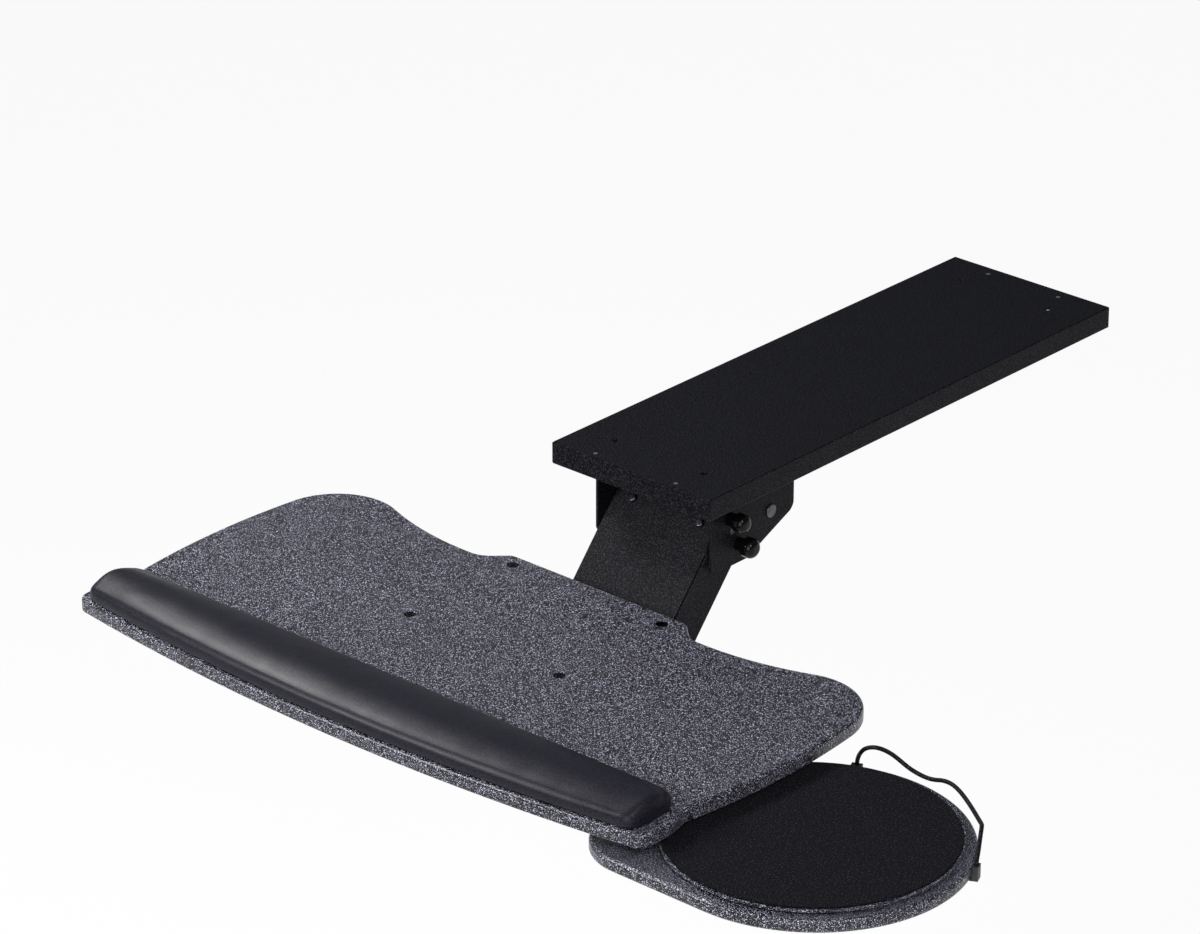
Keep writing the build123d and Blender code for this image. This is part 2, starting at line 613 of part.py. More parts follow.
# Pin on the right cheek that the levelling link hangs on
with BuildPart() as link_anchor_pin:
    with BuildSketch(side(CHEEK_OUTER)):
        with Locations((PIVOT_Y + LINK_DY, PIVOT_Z + LINK_DZ)):
            Circle(LINK_PIN_RADIUS)
    extrude(amount=LINK_INNER - LINK_PIN_MARGIN - CHEEK_OUTER)
    with BuildSketch(side(LINK_INNER - LINK_PIN_MARGIN)):
        with Locations((PIVOT_Y + LINK_DY, PIVOT_Z + LINK_DZ)):
            Circle(LINK_PIN_HEAD_RADIUS)
    extrude(amount=-LINK_PIN_HEAD)
link_anchor_pin.part.label = "link_anchor_pin"
export_step(link_anchor_pin.part, "parts/link_anchor_pin.step")

# Rod that holds the springs' fixed legs down
with BuildPart() as spring_rod:
    with BuildSketch(side(-CHEEK_OUTER)):
        with Locations((ROD_Y, ROD_Z)):
            Circle(ROD_RADIUS)
    extrude(amount=CHEEK_SPAN)
    with BuildSketch(side(CHEEK_OUTER)):
        with Locations((ROD_Y, ROD_Z)):
            Circle(ROD_HEAD_RADIUS)
    extrude(amount=ROD_HEAD)
    with BuildSketch(side(-CHEEK_OUTER)):
        with Locations((ROD_Y, ROD_Z)):
            Circle(ROD_HEAD_RADIUS)
    extrude(amount=-ROD_HEAD)
    fillet(spring_rod.edges().group_by(Axis.X)[0] + spring_rod.edges().group_by(Axis.X)[-1], ROD_HEAD / 2)
spring_rod.part.label = "spring_rod"
export_step(spring_rod.part, "parts/spring_rod.step")

# Nylon shoe that the tension screw presses on the quadrant
QUADRANT_OUTER = ARM_OUTER + QUADRANT_WALL
with BuildPart() as friction_shoe:
    with BuildSketch(side(QUADRANT_OUTER + FACE_CLEARANCE)):
        with Locations((SHOE_Y, SHOE_Z)):
            Circle(SHOE_RADIUS)
    extrude(amount=CHEEK_INNER - QUADRANT_OUTER - 2 * FACE_CLEARANCE)
friction_shoe.part.label = "friction_shoe"
export_step(friction_shoe.part, "parts/friction_shoe.step")

# Height lock knob on the shaft's thread, and the tension knob with its screw
KNOB_FACE = CHEEK_OUTER + FACE_CLEARANCE
KNOB_STEP = KNOB_FACE + KNOB_HUB_LENGTH
with BuildPart() as height_lock_knob:
    with BuildSketch(side(KNOB_FACE)):
        with Locations((PIVOT_Y, PIVOT_Z)):
            Circle(KNOB_HUB_RADIUS)
    extrude(amount=KNOB_HUB_LENGTH)
    with BuildSketch(side(KNOB_STEP)):
        with Locations((PIVOT_Y, PIVOT_Z)):
            Circle(KNOB_RADIUS)
    extrude(amount=KNOB_LENGTH)
    fillet(height_lock_knob.edges().group_by(Axis.X)[-1], KNOB_ROUND)
    with BuildSketch(side(KNOB_FACE)):
        with Locations((PIVOT_Y, PIVOT_Z)):
            Circle(SHAFT_THREAD_RADIUS + SHAFT_CLEARANCE)
    extrude(amount=SHAFT_THREAD, mode=Mode.SUBTRACT)
height_lock_knob.part.label = "height_lock_knob"
export_step(height_lock_knob.part, "parts/height_lock_knob.step")

with BuildPart() as tension_knob:
    with BuildSketch(side(CHEEK_INNER)):
        with Locations((SHOE_Y, SHOE_Z)):
            Circle(SHOE_SCREW_RADIUS)
    extrude(amount=CHEEK_WALL + FACE_CLEARANCE)
    with BuildSketch(side(KNOB_FACE)):
        with Locations((SHOE_Y, SHOE_Z)):
            Circle(KNOB_HUB_RADIUS)
    extrude(amount=KNOB_HUB_LENGTH)
    with BuildSketch(side(KNOB_STEP)):
        with Locations((SHOE_Y, SHOE_Z)):
            Circle(TENSION_KNOB_RADIUS)
    extrude(amount=KNOB_LENGTH)
    fillet(tension_knob.edges().group_by(Axis.X)[-1], KNOB_ROUND)
tension_knob.part.label = "tension_knob"
export_step(tension_knob.part, "parts/tension_knob.step")

# Arm, a channel whose flanges stand on both pivots and whose web is the upper face
ARM_TIP = ARM_LENGTH + ARM_OVERHANG
REST_SWING = ARM_SLOPE + 90 - LINK_OFFSET_ANGLE
SLOT_FORE = LIFT_UP - REST_SWING + STOP_MARGIN_ANGLE
SLOT_AFT = LIFT_DOWN + REST_SWING + STOP_MARGIN_ANGLE
SLOT_WIDTH = 2 * (LINK_PIN_RADIUS + SLOT_MARGIN)
slot_arc = CenterArc((0, 0), LINK_OFFSET, 90 - SLOT_FORE, SLOT_FORE + SLOT_AFT)
BUSH_RADIUS = SHAFT_RADIUS + BUSH_WALL
with BuildPart() as arm_channel:
    with BuildSketch(along_arm(ARM_OUTER)) as flange_outline:
        with BuildLine():
            Polyline(
                (-ARM_BACK, -ARM_BACK),
                (ARM_TIP, -ARM_BACK),
                (ARM_TIP, ARM_TOP - ARM_NOSE_DROP),
                (ARM_TIP - ARM_NOSE, ARM_TOP),
                (-ARM_BACK, ARM_TOP),
                close=True,
            )
        make_face()
        lower_corners = flange_outline.vertices().group_by(Axis.Y)[0]
        fillet(lower_corners, ARM_CORNER)
        for corner in ((ARM_TIP, ARM_TOP - ARM_NOSE_DROP), (ARM_TIP - ARM_NOSE, ARM_TOP), (-ARM_BACK, ARM_TOP)):
            fillet(flange_outline.vertices().sort_by_distance(corner)[0], ARM_SMALL_CORNER)
        with Locations((0, 0)):
            Circle(BUSH_RADIUS, mode=Mode.SUBTRACT)
        with Locations((ARM_LENGTH, 0)):
            Circle(SHAFT_RADIUS, mode=Mode.SUBTRACT)
    extrude(amount=ARM_WALL)
    mirror(about=Plane.YZ)
    with BuildSketch(along_arm(ARM_OUTER)):
        with Locations(((WEB_LOWER - WEB_UPPER) / 2, ARM_TOP - ARM_WALL / 2)):
            Rectangle(WEB_LOWER + WEB_UPPER, ARM_WALL)
    extrude(amount=ARM_SPAN)
    with BuildSketch(along_arm(ARM_OUTER)):
        SlotArc(slot_arc, SLOT_WIDTH)
    extrude(amount=ARM_WALL, mode=Mode.SUBTRACT)
    with BuildSketch(over_arm(0)):
        with Locations((-COVER_SCREW_OFFSET, 0)):
            with GridLocations(0, COVER_SCREW_SPREAD, 1, 2):
                Circle(COVER_SCREW_RADIUS)
    extrude(amount=ARM_TOP + CUT, mode=Mode.SUBTRACT)
arm_channel.part.label = "arm_channel"
export_step(arm_channel.part, "parts/arm_channel.step")

# Cover plate on the arm, with its two screws
with BuildPart() as arm_cover:
    with BuildSketch(over_arm(ARM_TOP)):
        with Locations(((WEB_LOWER - WEB_UPPER) / 2, 0)):
            Rectangle(WEB_LOWER + WEB_UPPER, ARM_SPAN - 2 * COVER_INSET)
        with Locations((-COVER_SCREW_OFFSET, 0)):
            with GridLocations(0, COVER_SCREW_SPREAD, 1, 2):
                Circle(COVER_SCREW_RADIUS, mode=Mode.SUBTRACT)
    extrude(amount=COVER_WALL)
arm_cover.part.label = "arm_cover"
export_step(arm_cover.part, "parts/arm_cover.step")

with BuildPart() as cover_screws:
    with BuildSketch(over_arm(ARM_TOP + COVER_WALL)):
        with Locations((-COVER_SCREW_OFFSET, 0)):
            with GridLocations(0, COVER_SCREW_SPREAD, 1, 2):
                Circle(COVER_SCREW_HEAD_RADIUS)
    extrude(amount=COVER_SCREW_HEAD)
    fillet(cover_screws.edges().group_by(Axis((0, PIVOT_Y, PIVOT_Z), ARM_NORMAL))[-1], COVER_SCREW_HEAD / 2)
    with BuildSketch(over_arm(ARM_TOP + COVER_WALL)):
        with Locations((-COVER_SCREW_OFFSET, 0)):
            with GridLocations(0, COVER_SCREW_SPREAD, 1, 2):
                Circle(COVER_SCREW_RADIUS)
    extrude(amount=-COVER_SCREW_LENGTH)
cover_screws.part.label = "cover_screws"
export_step(cover_screws.part, "parts/cover_screws.step")

# Bushes between the arm's flanges and the cheeks
BUSH_FACE = CHEEK_INNER - 2 * FACE_CLEARANCE
with BuildPart() as arm_bushes:
    with BuildSketch(side(ARM_INNER - BUSH_INNER)):
        with Locations((PIVOT_Y, PIVOT_Z)):
            Circle(BUSH_RADIUS)
    extrude(amount=ARM_WALL + BUSH_INNER)
    with BuildSketch(side(ARM_OUTER)):
        with Locations((PIVOT_Y, PIVOT_Z)):
            Circle(BUSH_FLANGE_RADIUS)
    extrude(amount=BUSH_FACE - ARM_OUTER)
    with BuildSketch(side(ARM_INNER - BUSH_INNER)):
        with Locations((PIVOT_Y, PIVOT_Z)):
            Circle(SHAFT_RADIUS + SHAFT_CLEARANCE)
    extrude(amount=BUSH_FACE - ARM_INNER + BUSH_INNER, mode=Mode.SUBTRACT)
    mirror(about=Plane.YZ)
arm_bushes.part.label = "arm_bushes"
export_step(arm_bushes.part, "parts/arm_bushes.step")

# Friction quadrant on the arm's right flange
with BuildPart() as friction_quadrant:
    with BuildSketch(along_arm(QUADRANT_OUTER)) as quadrant_outline:
        with BuildLine():
            sweep_edge = CenterArc((0, 0), QUADRANT_RADIUS, 90 - QUADRANT_HALF_ANGLE, 2 * QUADRANT_HALF_ANGLE)
            Line((0, 0), sweep_edge @ 0)
            Line((0, 0), sweep_edge @ 1)
        make_face()
        fillet(quadrant_outline.vertices().group_by(Axis.Y)[-1], QUADRANT_CORNER)
        Circle(QUADRANT_HUB)
        Circle(BUSH_FLANGE_RADIUS + SLOT_MARGIN, mode=Mode.SUBTRACT)
        SlotArc(slot_arc, SLOT_WIDTH, mode=Mode.SUBTRACT)
    extrude(amount=QUADRANT_WALL)
friction_quadrant.part.label = "friction_quadrant"
export_step(friction_quadrant.part, "parts/friction_quadrant.step")

# Shaft through the arm's lower end, headed at both ends
with BuildPart() as lower_shaft:
    with BuildSketch(side(0)):
        with Locations((LOWER_Y, LOWER_Z)):
            Circle(SHAFT_RADIUS)
    extrude(amount=ARM_OUTER)
    with BuildSketch(side(ARM_OUTER)):
        with Locations((LOWER_Y, LOWER_Z)):
            Circle(SHAFT_HEAD_RADIUS)
    extrude(amount=SHAFT_HEAD)
    fillet(lower_shaft.edges().group_by(Axis.X)[-1], SHAFT_HEAD / 3)
    mirror(about=Plane.YZ)
lower_shaft.part.label = "lower_shaft"
export_step(lower_shaft.part, "parts/lower_shaft.step")


def quarter_arcs(points, tangents):
    """Two tangent arcs from each point to the next, meeting with a shared tangent."""
    for start, end, leave, arrive in zip(points, points[1:], tangents, tangents[1:]):
        chord = end - start
        both = leave + arrive
        spread = 2 * (1 - leave.dot(arrive))
        reach = (-chord.dot(both) + sqrt(chord.dot(both) ** 2 + spread * chord.dot(chord))) / spread
        near = start + leave * reach
        far = end - arrive * reach
        middle = (near + far) / 2
        TangentArc(start, middle, tangent=leave)
        TangentArc(middle, end, tangent=far - near)


# Torsion springs round the shaft: a leg under the rod, the turns, and a leg under the arm's web
SPRING_LEG_ANGLE = 180 + ARM_SLOPE - SPRING_LEG_TILT
SPRING_SWEEP = 360 * SPRING_TURNS + SPRING_LEG_ANGLE - 90 - SPRING_START_ANGLE
SPRING_STEPS = round(SPRING_SWEEP / 90)
SPRING_CLIMB = SPRING_PITCH / 360 * SPRING_SWEEP
spring_points = []
spring_tangents = []
for step in range(SPRING_STEPS + 1):
    turned = step / SPRING_STEPS
    polar = radians(SPRING_START_ANGLE + SPRING_SWEEP * turned)
    lean = SPRING_CLIMB / (radians(SPRING_SWEEP) * SPRING_RADIUS)
    spring_points.append(
        Vector(
            SPRING_INNER + SPRING_CLIMB * turned,
            PIVOT_Y + SPRING_RADIUS * cos(polar),
            PIVOT_Z + SPRING_RADIUS * sin(polar),
        )
    )
    spring_tangents.append(Vector(lean, -sin(polar), cos(polar)).normalized())
spring_start = spring_points[0] - spring_tangents[0] * SPRING_FIXED_LEG
spring_end = spring_points[-1] + spring_tangents[-1] * SPRING_ARM_LEG
with BuildPart() as counterbalance_springs:
    with BuildLine() as spring_route:
        Line(spring_start, spring_points[0])
        quarter_arcs(spring_points, spring_tangents)
        Line(spring_points[-1], spring_end)
    with BuildSketch(Plane(origin=spring_start, z_dir=spring_tangents[0])):
        Circle(SPRING_WIRE_RADIUS)
    sweep()
    mirror(about=Plane.YZ)
counterbalance_springs.part.label = "counterbalance_springs"
export_step(counterbalance_springs.part, "parts/counterbalance_springs.step")
route_wire = spring_route.wire()
SPRING_SAMPLES = 40 * SPRING_STEPS
samples = [route_wire @ (n / SPRING_SAMPLES) for n in range(SPRING_SAMPLES + 1)]
apart = pi * SPRING_RADIUS
near_self = min(
    (first - second).length
    for n, first in enumerate(samples)
    for m, second in enumerate(samples[n + 1 :], n + 1)
    if (m - n) * route_wire.length / SPRING_SAMPLES > apart
)
print("least gap of a spring to itself", round(near_self - 2 * SPRING_WIRE_RADIUS, 2), "mm")

# Levelling link
with BuildPart() as levelling_link:
    with BuildSketch(along_arm(LINK_OUTER, PIVOT_Y + LINK_DY, PIVOT_Z + LINK_DZ)):
        with Locations((ARM_LENGTH / 2, 0)):
            SlotCenterToCenter(ARM_LENGTH, 2 * LINK_HALF_HEIGHT)
        Circle(LINK_PIN_RADIUS + PIN_CLEARANCE, mode=Mode.SUBTRACT)
        with Locations((ARM_LENGTH, 0)):
            Circle(LINK_PIN_RADIUS + OPEN_PIVOT_CLEARANCE, mode=Mode.SUBTRACT)
    extrude(amount=LINK_WALL)
levelling_link.part.label = "levelling_link"
export_step(levelling_link.part, "parts/levelling_link.step")

# Head: two side plates and a cross plate between them
HEAD_SPREAD = hypot(TILT_FORWARD, TILT_RAISE)
HEAD_ALONG = Vector(0, -TILT_FORWARD, TILT_RAISE).normalized()
with BuildPart() as tilt_head:
    with BuildSketch(side(HEAD_INNER)):
        with Locations((LOWER_Y, LOWER_Z), (TILT_Y, TILT_Z)):
            Circle(HEAD_BOSS_RADIUS)
        with Locations((LOWER_Y + LINK_DY, LOWER_Z + LINK_DZ)):
            Circle(HEAD_LUG_RADIUS)
        make_hull()
        with Locations((LOWER_Y, LOWER_Z)):
            Circle(BUSH_RADIUS, mode=Mode.SUBTRACT)
        with Locations((LOWER_Y + LINK_DY, LOWER_Z + LINK_DZ)):
            Circle(LINK_PIN_RADIUS, mode=Mode.SUBTRACT)
        with Locations((TILT_Y, TILT_Z)):
            Circle(TILT_PIN_RADIUS, mode=Mode.SUBTRACT)
    extrude(amount=HEAD_WALL)
    mirror(about=Plane.YZ)
    head_plane = Plane(origin=(-HEAD_INNER, LOWER_Y, LOWER_Z), x_dir=HEAD_ALONG, z_dir=(1, 0, 0))
    with BuildSketch(head_plane):
        with Locations((HEAD_SPREAD / 2, HEAD_CROSS_DROP)):
            Rectangle(HEAD_CROSS_WIDTH, HEAD_WALL)
    extrude(amount=2 * HEAD_INNER)
tilt_head.part.label = "tilt_head"
export_step(tilt_head.part, "parts/tilt_head.step")

with BuildPart() as head_bushes:
    with BuildSketch(side(HEAD_INNER - BUSH_INNER)):
        with Locations((LOWER_Y, LOWER_Z)):
            Circle(BUSH_RADIUS)
    extrude(amount=HEAD_WALL + BUSH_INNER)
    with BuildSketch(side(HEAD_OUTER)):
        with Locations((LOWER_Y, LOWER_Z)):
            Circle(LOWER_BUSH_FLANGE_RADIUS)
    extrude(amount=ARM_INNER - 2 * FACE_CLEARANCE - HEAD_OUTER)
    with BuildSketch(side(HEAD_INNER - BUSH_INNER)):
        with Locations((LOWER_Y, LOWER_Z)):
            Circle(SHAFT_RADIUS + SHAFT_CLEARANCE)
    extrude(amount=ARM_INNER - HEAD_INNER + BUSH_INNER, mode=Mode.SUBTRACT)
    mirror(about=Plane.YZ)
head_bushes.part.label = "head_bushes"
export_step(head_bushes.part, "parts/head_bushes.step")

with BuildPart() as link_head_pin:
    with BuildSketch(side(HEAD_INNER)):
        with Locations((LOWER_Y + LINK_DY, LOWER_Z + LINK_DZ)):
            Circle(LINK_PIN_HEAD_RADIUS)
    extrude(amount=-LINK_PIN_HEAD)
    with BuildSketch(side(HEAD_INNER)):
        with Locations((LOWER_Y + LINK_DY, LOWER_Z + LINK_DZ)):
            Circle(LINK_PIN_RADIUS)
    extrude(amount=LINK_OUTER + OPEN_PIVOT_CLEARANCE - HEAD_INNER)
link_head_pin.part.label = "link_head_pin"
export_step(link_head_pin.part, "parts/link_head_pin.step")

# Tilt pin through the head and the tray's ears, threaded for its knob
TILT_KNOB_FACE = HEAD_OUTER + OPEN_PIVOT_CLEARANCE
TILT_KNOB_STEP = TILT_KNOB_FACE + TILT_KNOB_HUB
with BuildPart() as tilt_pin:
    with BuildSketch(side(-HEAD_OUTER)):
        with Locations((TILT_Y, TILT_Z)):
            Circle(TILT_HEAD_RADIUS)
    extrude(amount=-TILT_HEAD)
    fillet(tilt_pin.edges().group_by(Axis.X)[0], TILT_HEAD / 3)
    with BuildSketch(side(-HEAD_OUTER)):
        with Locations((TILT_Y, TILT_Z)):
            Circle(TILT_PIN_RADIUS)
    extrude(amount=2 * HEAD_OUTER + TILT_KNOB_HUB)
tilt_pin.part.label = "tilt_pin"
export_step(tilt_pin.part, "parts/tilt_pin.step")

with BuildPart() as tilt_knob:
    with BuildSketch(side(TILT_KNOB_FACE)):
        with Locations((TILT_Y, TILT_Z)):
            Circle(TILT_KNOB_HUB_RADIUS)
    extrude(amount=TILT_KNOB_HUB)
    with BuildSketch(side(TILT_KNOB_STEP)):
        with Locations((TILT_Y, TILT_Z)):
            Circle(TILT_KNOB_RADIUS)
            with PolarLocations(TILT_KNOB_SCALLOP_OFFSET, TILT_KNOB_LOBES):
                Circle(TILT_KNOB_SCALLOP_RADIUS, mode=Mode.SUBTRACT)
    extrude(amount=TILT_KNOB_LENGTH)
    fillet(tilt_knob.edges().group_by(Axis.X)[-1], TILT_KNOB_ROUND)
    with BuildSketch(side(TILT_KNOB_FACE)):
        with Locations((TILT_Y, TILT_Z)):
            Circle(TILT_PIN_RADIUS + SHAFT_CLEARANCE)
    extrude(amount=TILT_KNOB_HUB, mode=Mode.SUBTRACT)
tilt_knob.part.label = "tilt_knob"
export_step(tilt_knob.part, "parts/tilt_knob.step")

# Steel bracket under the tray, with ears that hang on the tilt pin
with BuildPart() as tray_bracket:
    with BuildSketch(over(TRAY_UNDER)):
        with Locations((0, TRAY_SCREW_Y)):
            RectangleRounded(TRAY_PLATE_WIDTH, TRAY_PLATE_DEPTH, TRAY_PLATE_CORNER)
            with GridLocations(TRAY_SCREWS_ACROSS, TRAY_SCREWS_ALONG, 2, 2):
                Circle(TRAY_SCREW_RADIUS, mode=Mode.SUBTRACT)
            with GridLocations(2 * TRAY_PLATE_SLOT_X, 0, 2, 1):
                SlotOverall(TRAY_PLATE_SLOT_LENGTH, TRAY_PLATE_SLOT_WIDTH, rotation=90, mode=Mode.SUBTRACT)
    extrude(amount=-TRAY_PLATE_WALL)
    with BuildSketch(over(TRAY_UNDER)):
        with Locations((0, TRAY_SCREW_Y)):
            with GridLocations(TRAY_PLATE_WIDTH - TRAY_PLATE_WALL, 0, 2, 1):
                Rectangle(TRAY_PLATE_WALL, TRAY_PLATE_LIP_LENGTH)
    extrude(amount=-(TRAY_PLATE_WALL + TRAY_PLATE_LIP))
    with BuildSketch(side(EAR_OUTER - EAR_WALL)) as ear_outline:
        with Locations((TILT_Y, TILT_Z)):
            Circle(EAR_RADIUS)
        with Locations((TILT_Y - EAR_BASE_FORWARD, TRAY_PLATE_UNDER - EAR_WALL / 2)):
            Rectangle(EAR_BASE, EAR_WALL)
        make_hull()
        with Locations((TILT_Y, TILT_Z)):
            Circle(TILT_PIN_RADIUS + SHAFT_CLEARANCE, mode=Mode.SUBTRACT)
    extrude(amount=EAR_WALL)
    with BuildSketch(side(EAR_WALL - EAR_OUTER)):
        add(ear_outline.sketch_local)
    extrude(amount=-EAR_WALL)
tray_bracket.part.label = "tray_bracket"
export_step(tray_bracket.part, "parts/tray_bracket.step")

# Tray board, its rear edge a tab between two hollows and two rounded lobes
TAB_CORNER = (TRAY_TAB_HALF, TRAY_REAR)
DIP_CORNER = (TRAY_TAB_HALF + TRAY_SLOPE_RUN, TRAY_REAR - TRAY_DIP_DEPTH)
LOBE_CORNER = (TRAY_LOBE_HALF, TRAY_REAR + TRAY_LOBE_RISE)
NOTCH_CORNER = (TRAY_NOTCH_HALF, TRAY_FRONT + TRAY_NOTCH_BEHIND_FRONT)
EAR_CORNER = (TRAY_EAR_HALF, TRAY_FRONT + TRAY_EAR_BEHIND_FRONT)
FRONT_CORNER = (TRAY_EAR_HALF, TRAY_FRONT + TRAY_CORNER_BEHIND_FRONT)
ROUNDED_CORNERS = (
    (TAB_CORNER, TRAY_SHOULDER_RADIUS),
    (DIP_CORNER, TRAY_DIP_RADIUS),
    (LOBE_CORNER, TRAY_LOBE_RADIUS),
    (NOTCH_CORNER, TRAY_EAR_RADIUS),
    (EAR_CORNER, TRAY_EAR_RADIUS),
    (FRONT_CORNER, TRAY_CORNER_RADIUS),
)
SCREW_HEAD_TOP = TRAY_TOP - TRAY_SCREW_SINK
SCREW_CONE = TRAY_SCREW_HEAD_RADIUS - TRAY_SCREW_RADIUS
SCREW_END = TRAY_PLATE_UNDER - TRAY_NUT
with BuildPart() as keyboard_tray:
    with BuildSketch(over(TRAY_UNDER)) as tray_outline:
        with BuildLine():
            Polyline((0, TRAY_REAR), TAB_CORNER, DIP_CORNER)
            ThreePointArc(DIP_CORNER, (TRAY_SAG_HALF, TRAY_REAR - TRAY_SAG_DEPTH), LOBE_CORNER)
            ThreePointArc(LOBE_CORNER, (TRAY_HALF_WIDTH, TRAY_FRONT + TRAY_WIDEST_BEHIND_FRONT), NOTCH_CORNER)
            Polyline(NOTCH_CORNER, EAR_CORNER, FRONT_CORNER)
            mirror(about=Plane.YZ)
            ThreePointArc(FRONT_CORNER, (0, TRAY_FRONT), (-FRONT_CORNER[0], FRONT_CORNER[1]))
        make_face()
        for (corner_x, corner_y), radius in ROUNDED_CORNERS:
            for place in ((corner_x, corner_y), (-corner_x, corner_y)):
                fillet(tray_outline.vertices().sort_by_distance(place)[0], radius)
    extrude(amount=TRAY_THICKNESS)
    fillet(keyboard_tray.edges().group_by(Axis.Z)[-1], TRAY_TOP_ROUND)
    fillet(keyboard_tray.edges().group_by(Axis.Z)[0], TRAY_UNDER_ROUND)
    with Locations((0, TRAY_SCREW_Y, TRAY_TOP)):
        with GridLocations(TRAY_SCREWS_ACROSS, TRAY_SCREWS_ALONG, 2, 2):
            CounterSinkHole(
                TRAY_SCREW_RADIUS + TRAY_SCREW_CLEARANCE,
                TRAY_SCREW_HEAD_RADIUS + TRAY_SCREW_SINK + TRAY_SCREW_CLEARANCE,
                TRAY_THICKNESS,
                90,
            )
    with Locations((*MOUSE_PIVOT, TRAY_TOP)):
        CounterBoreHole(
            MOUSE_BOLT_RADIUS + SHAFT_CLEARANCE,
            MOUSE_BOLT_HEAD_RADIUS + TRAY_SCREW_CLEARANCE,
            MOUSE_BOLT_HEAD + MOUSE_BOLT_RECESS,
            TRAY_THICKNESS,
        )
keyboard_tray.part.label = "keyboard_tray"
export_step(keyboard_tray.part, "parts/keyboard_tray.step")

# Countersunk tray screws with cross recesses, and their nuts
with BuildPart() as tray_screws:
    with BuildSketch(over(SCREW_HEAD_TOP)):
        with Locations((0, TRAY_SCREW_Y)):
            with GridLocations(TRAY_SCREWS_ACROSS, TRAY_SCREWS_ALONG, 2, 2):
                Circle(TRAY_SCREW_HEAD_RADIUS)
    extrude(amount=-SCREW_CONE, taper=45)
    with BuildSketch(over(SCREW_HEAD_TOP)):
        with Locations((0, TRAY_SCREW_Y)):
            with GridLocations(TRAY_SCREWS_ACROSS, TRAY_SCREWS_ALONG, 2, 2):
                Circle(TRAY_SCREW_RADIUS)
    extrude(amount=SCREW_END - SCREW_HEAD_TOP)
    with BuildSketch(over(SCREW_HEAD_TOP)):
        with Locations((0, TRAY_SCREW_Y)):
            with GridLocations(TRAY_SCREWS_ACROSS, TRAY_SCREWS_ALONG, 2, 2):
                Rectangle(TRAY_SCREW_CROSS, TRAY_SCREW_CROSS_WIDTH)
                Rectangle(TRAY_SCREW_CROSS_WIDTH, TRAY_SCREW_CROSS)
    extrude(amount=-TRAY_SCREW_CROSS_DEPTH, mode=Mode.SUBTRACT)
tray_screws.part.label = "tray_screws"
export_step(tray_screws.part, "parts/tray_screws.step")

with BuildPart() as tray_nuts:
    with BuildSketch(over(TRAY_PLATE_UNDER)):
        with Locations((0, TRAY_SCREW_Y)):
            with GridLocations(TRAY_SCREWS_ACROSS, TRAY_SCREWS_ALONG, 2, 2):
                RegularPolygon(TRAY_NUT_RADIUS, 6)
                Circle(TRAY_SCREW_RADIUS, mode=Mode.SUBTRACT)
    extrude(amount=-TRAY_NUT)
tray_nuts.part.label = "tray_nuts"
export_step(tray_nuts.part, "parts/tray_nuts.step")


def rest_lines(inset):
    """Lines of the wrist rest from above, drawn in by inset: bowed like the tray in front, straight behind."""
    half = REST_HALF_LENGTH - inset
    front = TRAY_FRONT + REST_FRONT_INSET + inset
    back = TRAY_FRONT + REST_BACK_BEHIND_FRONT - inset
    bow = TRAY_CORNER_BEHIND_FRONT * (half / TRAY_EAR_HALF) ** 2
    ThreePointArc((-half, front + bow), (0, front), (half, front + bow))
    Polyline((half, front + bow), (half, back), (-half, back), (-half, front + bow))


# Wrist rest cushion, crowned, with its sides drawn in to a stiff base
REST_FRONT = TRAY_FRONT + REST_FRONT_INSET
REST_BACK = TRAY_FRONT + REST_BACK_BEHIND_FRONT
REST_CROWN = TRAY_FRONT + REST_CROWN_BEHIND_FRONT
REST_TOP = TRAY_TOP + REST_CROWN_HEIGHT
with BuildPart() as wrist_rest:
    with BuildSketch(over(TRAY_TOP)) as rest_plan:
        with BuildLine():
            rest_lines(0)
        make_face()
        fillet(rest_plan.vertices().group_by(Axis.Y)[0], REST_FRONT_CORNER)
        fillet(rest_plan.vertices().group_by(Axis.Y)[-1], REST_BACK_CORNER)
    extrude(amount=REST_CROWN_HEIGHT + CUT)
    with BuildSketch(side(-REST_HALF_LENGTH)):
        with BuildLine():
            ThreePointArc(
                (REST_FRONT, TRAY_TOP + REST_FRONT_HEIGHT),
                (REST_CROWN, REST_TOP),
                (REST_BACK, TRAY_TOP + REST_BACK_HEIGHT),
            )
            Polyline(
                (REST_BACK, TRAY_TOP + REST_BACK_HEIGHT),
                (REST_BACK, TRAY_TOP),
                (REST_FRONT, TRAY_TOP),
                (REST_FRONT, TRAY_TOP + REST_FRONT_HEIGHT),
            )
        make_face()
    extrude(amount=2 * REST_HALF_LENGTH, mode=Mode.INTERSECT)
    rest_rims = wrist_rest.faces().sort_by(Axis.Z)
    fillet(rest_rims[-1].edges(), REST_TOP_ROUND)
    fillet(wrist_rest.edges().group_by(Axis.Z)[0], REST_TUCK)
    with BuildSketch(over(TRAY_TOP)):
        with BuildLine():
            rest_lines(REST_BASE_INSET)
        make_face()
    extrude(amount=REST_BASE, mode=Mode.SUBTRACT)
wrist_rest.part.label = "wrist_rest"
export_step(wrist_rest.part, "parts/wrist_rest.step")

with BuildPart() as wrist_rest_base:
    with BuildSketch(over(TRAY_TOP)):
        with BuildLine():
            rest_lines(REST_BASE_INSET)
        make_face()
    extrude(amount=REST_BASE)
wrist_rest_base.part.label = "wrist_rest_base"
export_step(wrist_rest_base.part, "parts/wrist_rest_base.step")

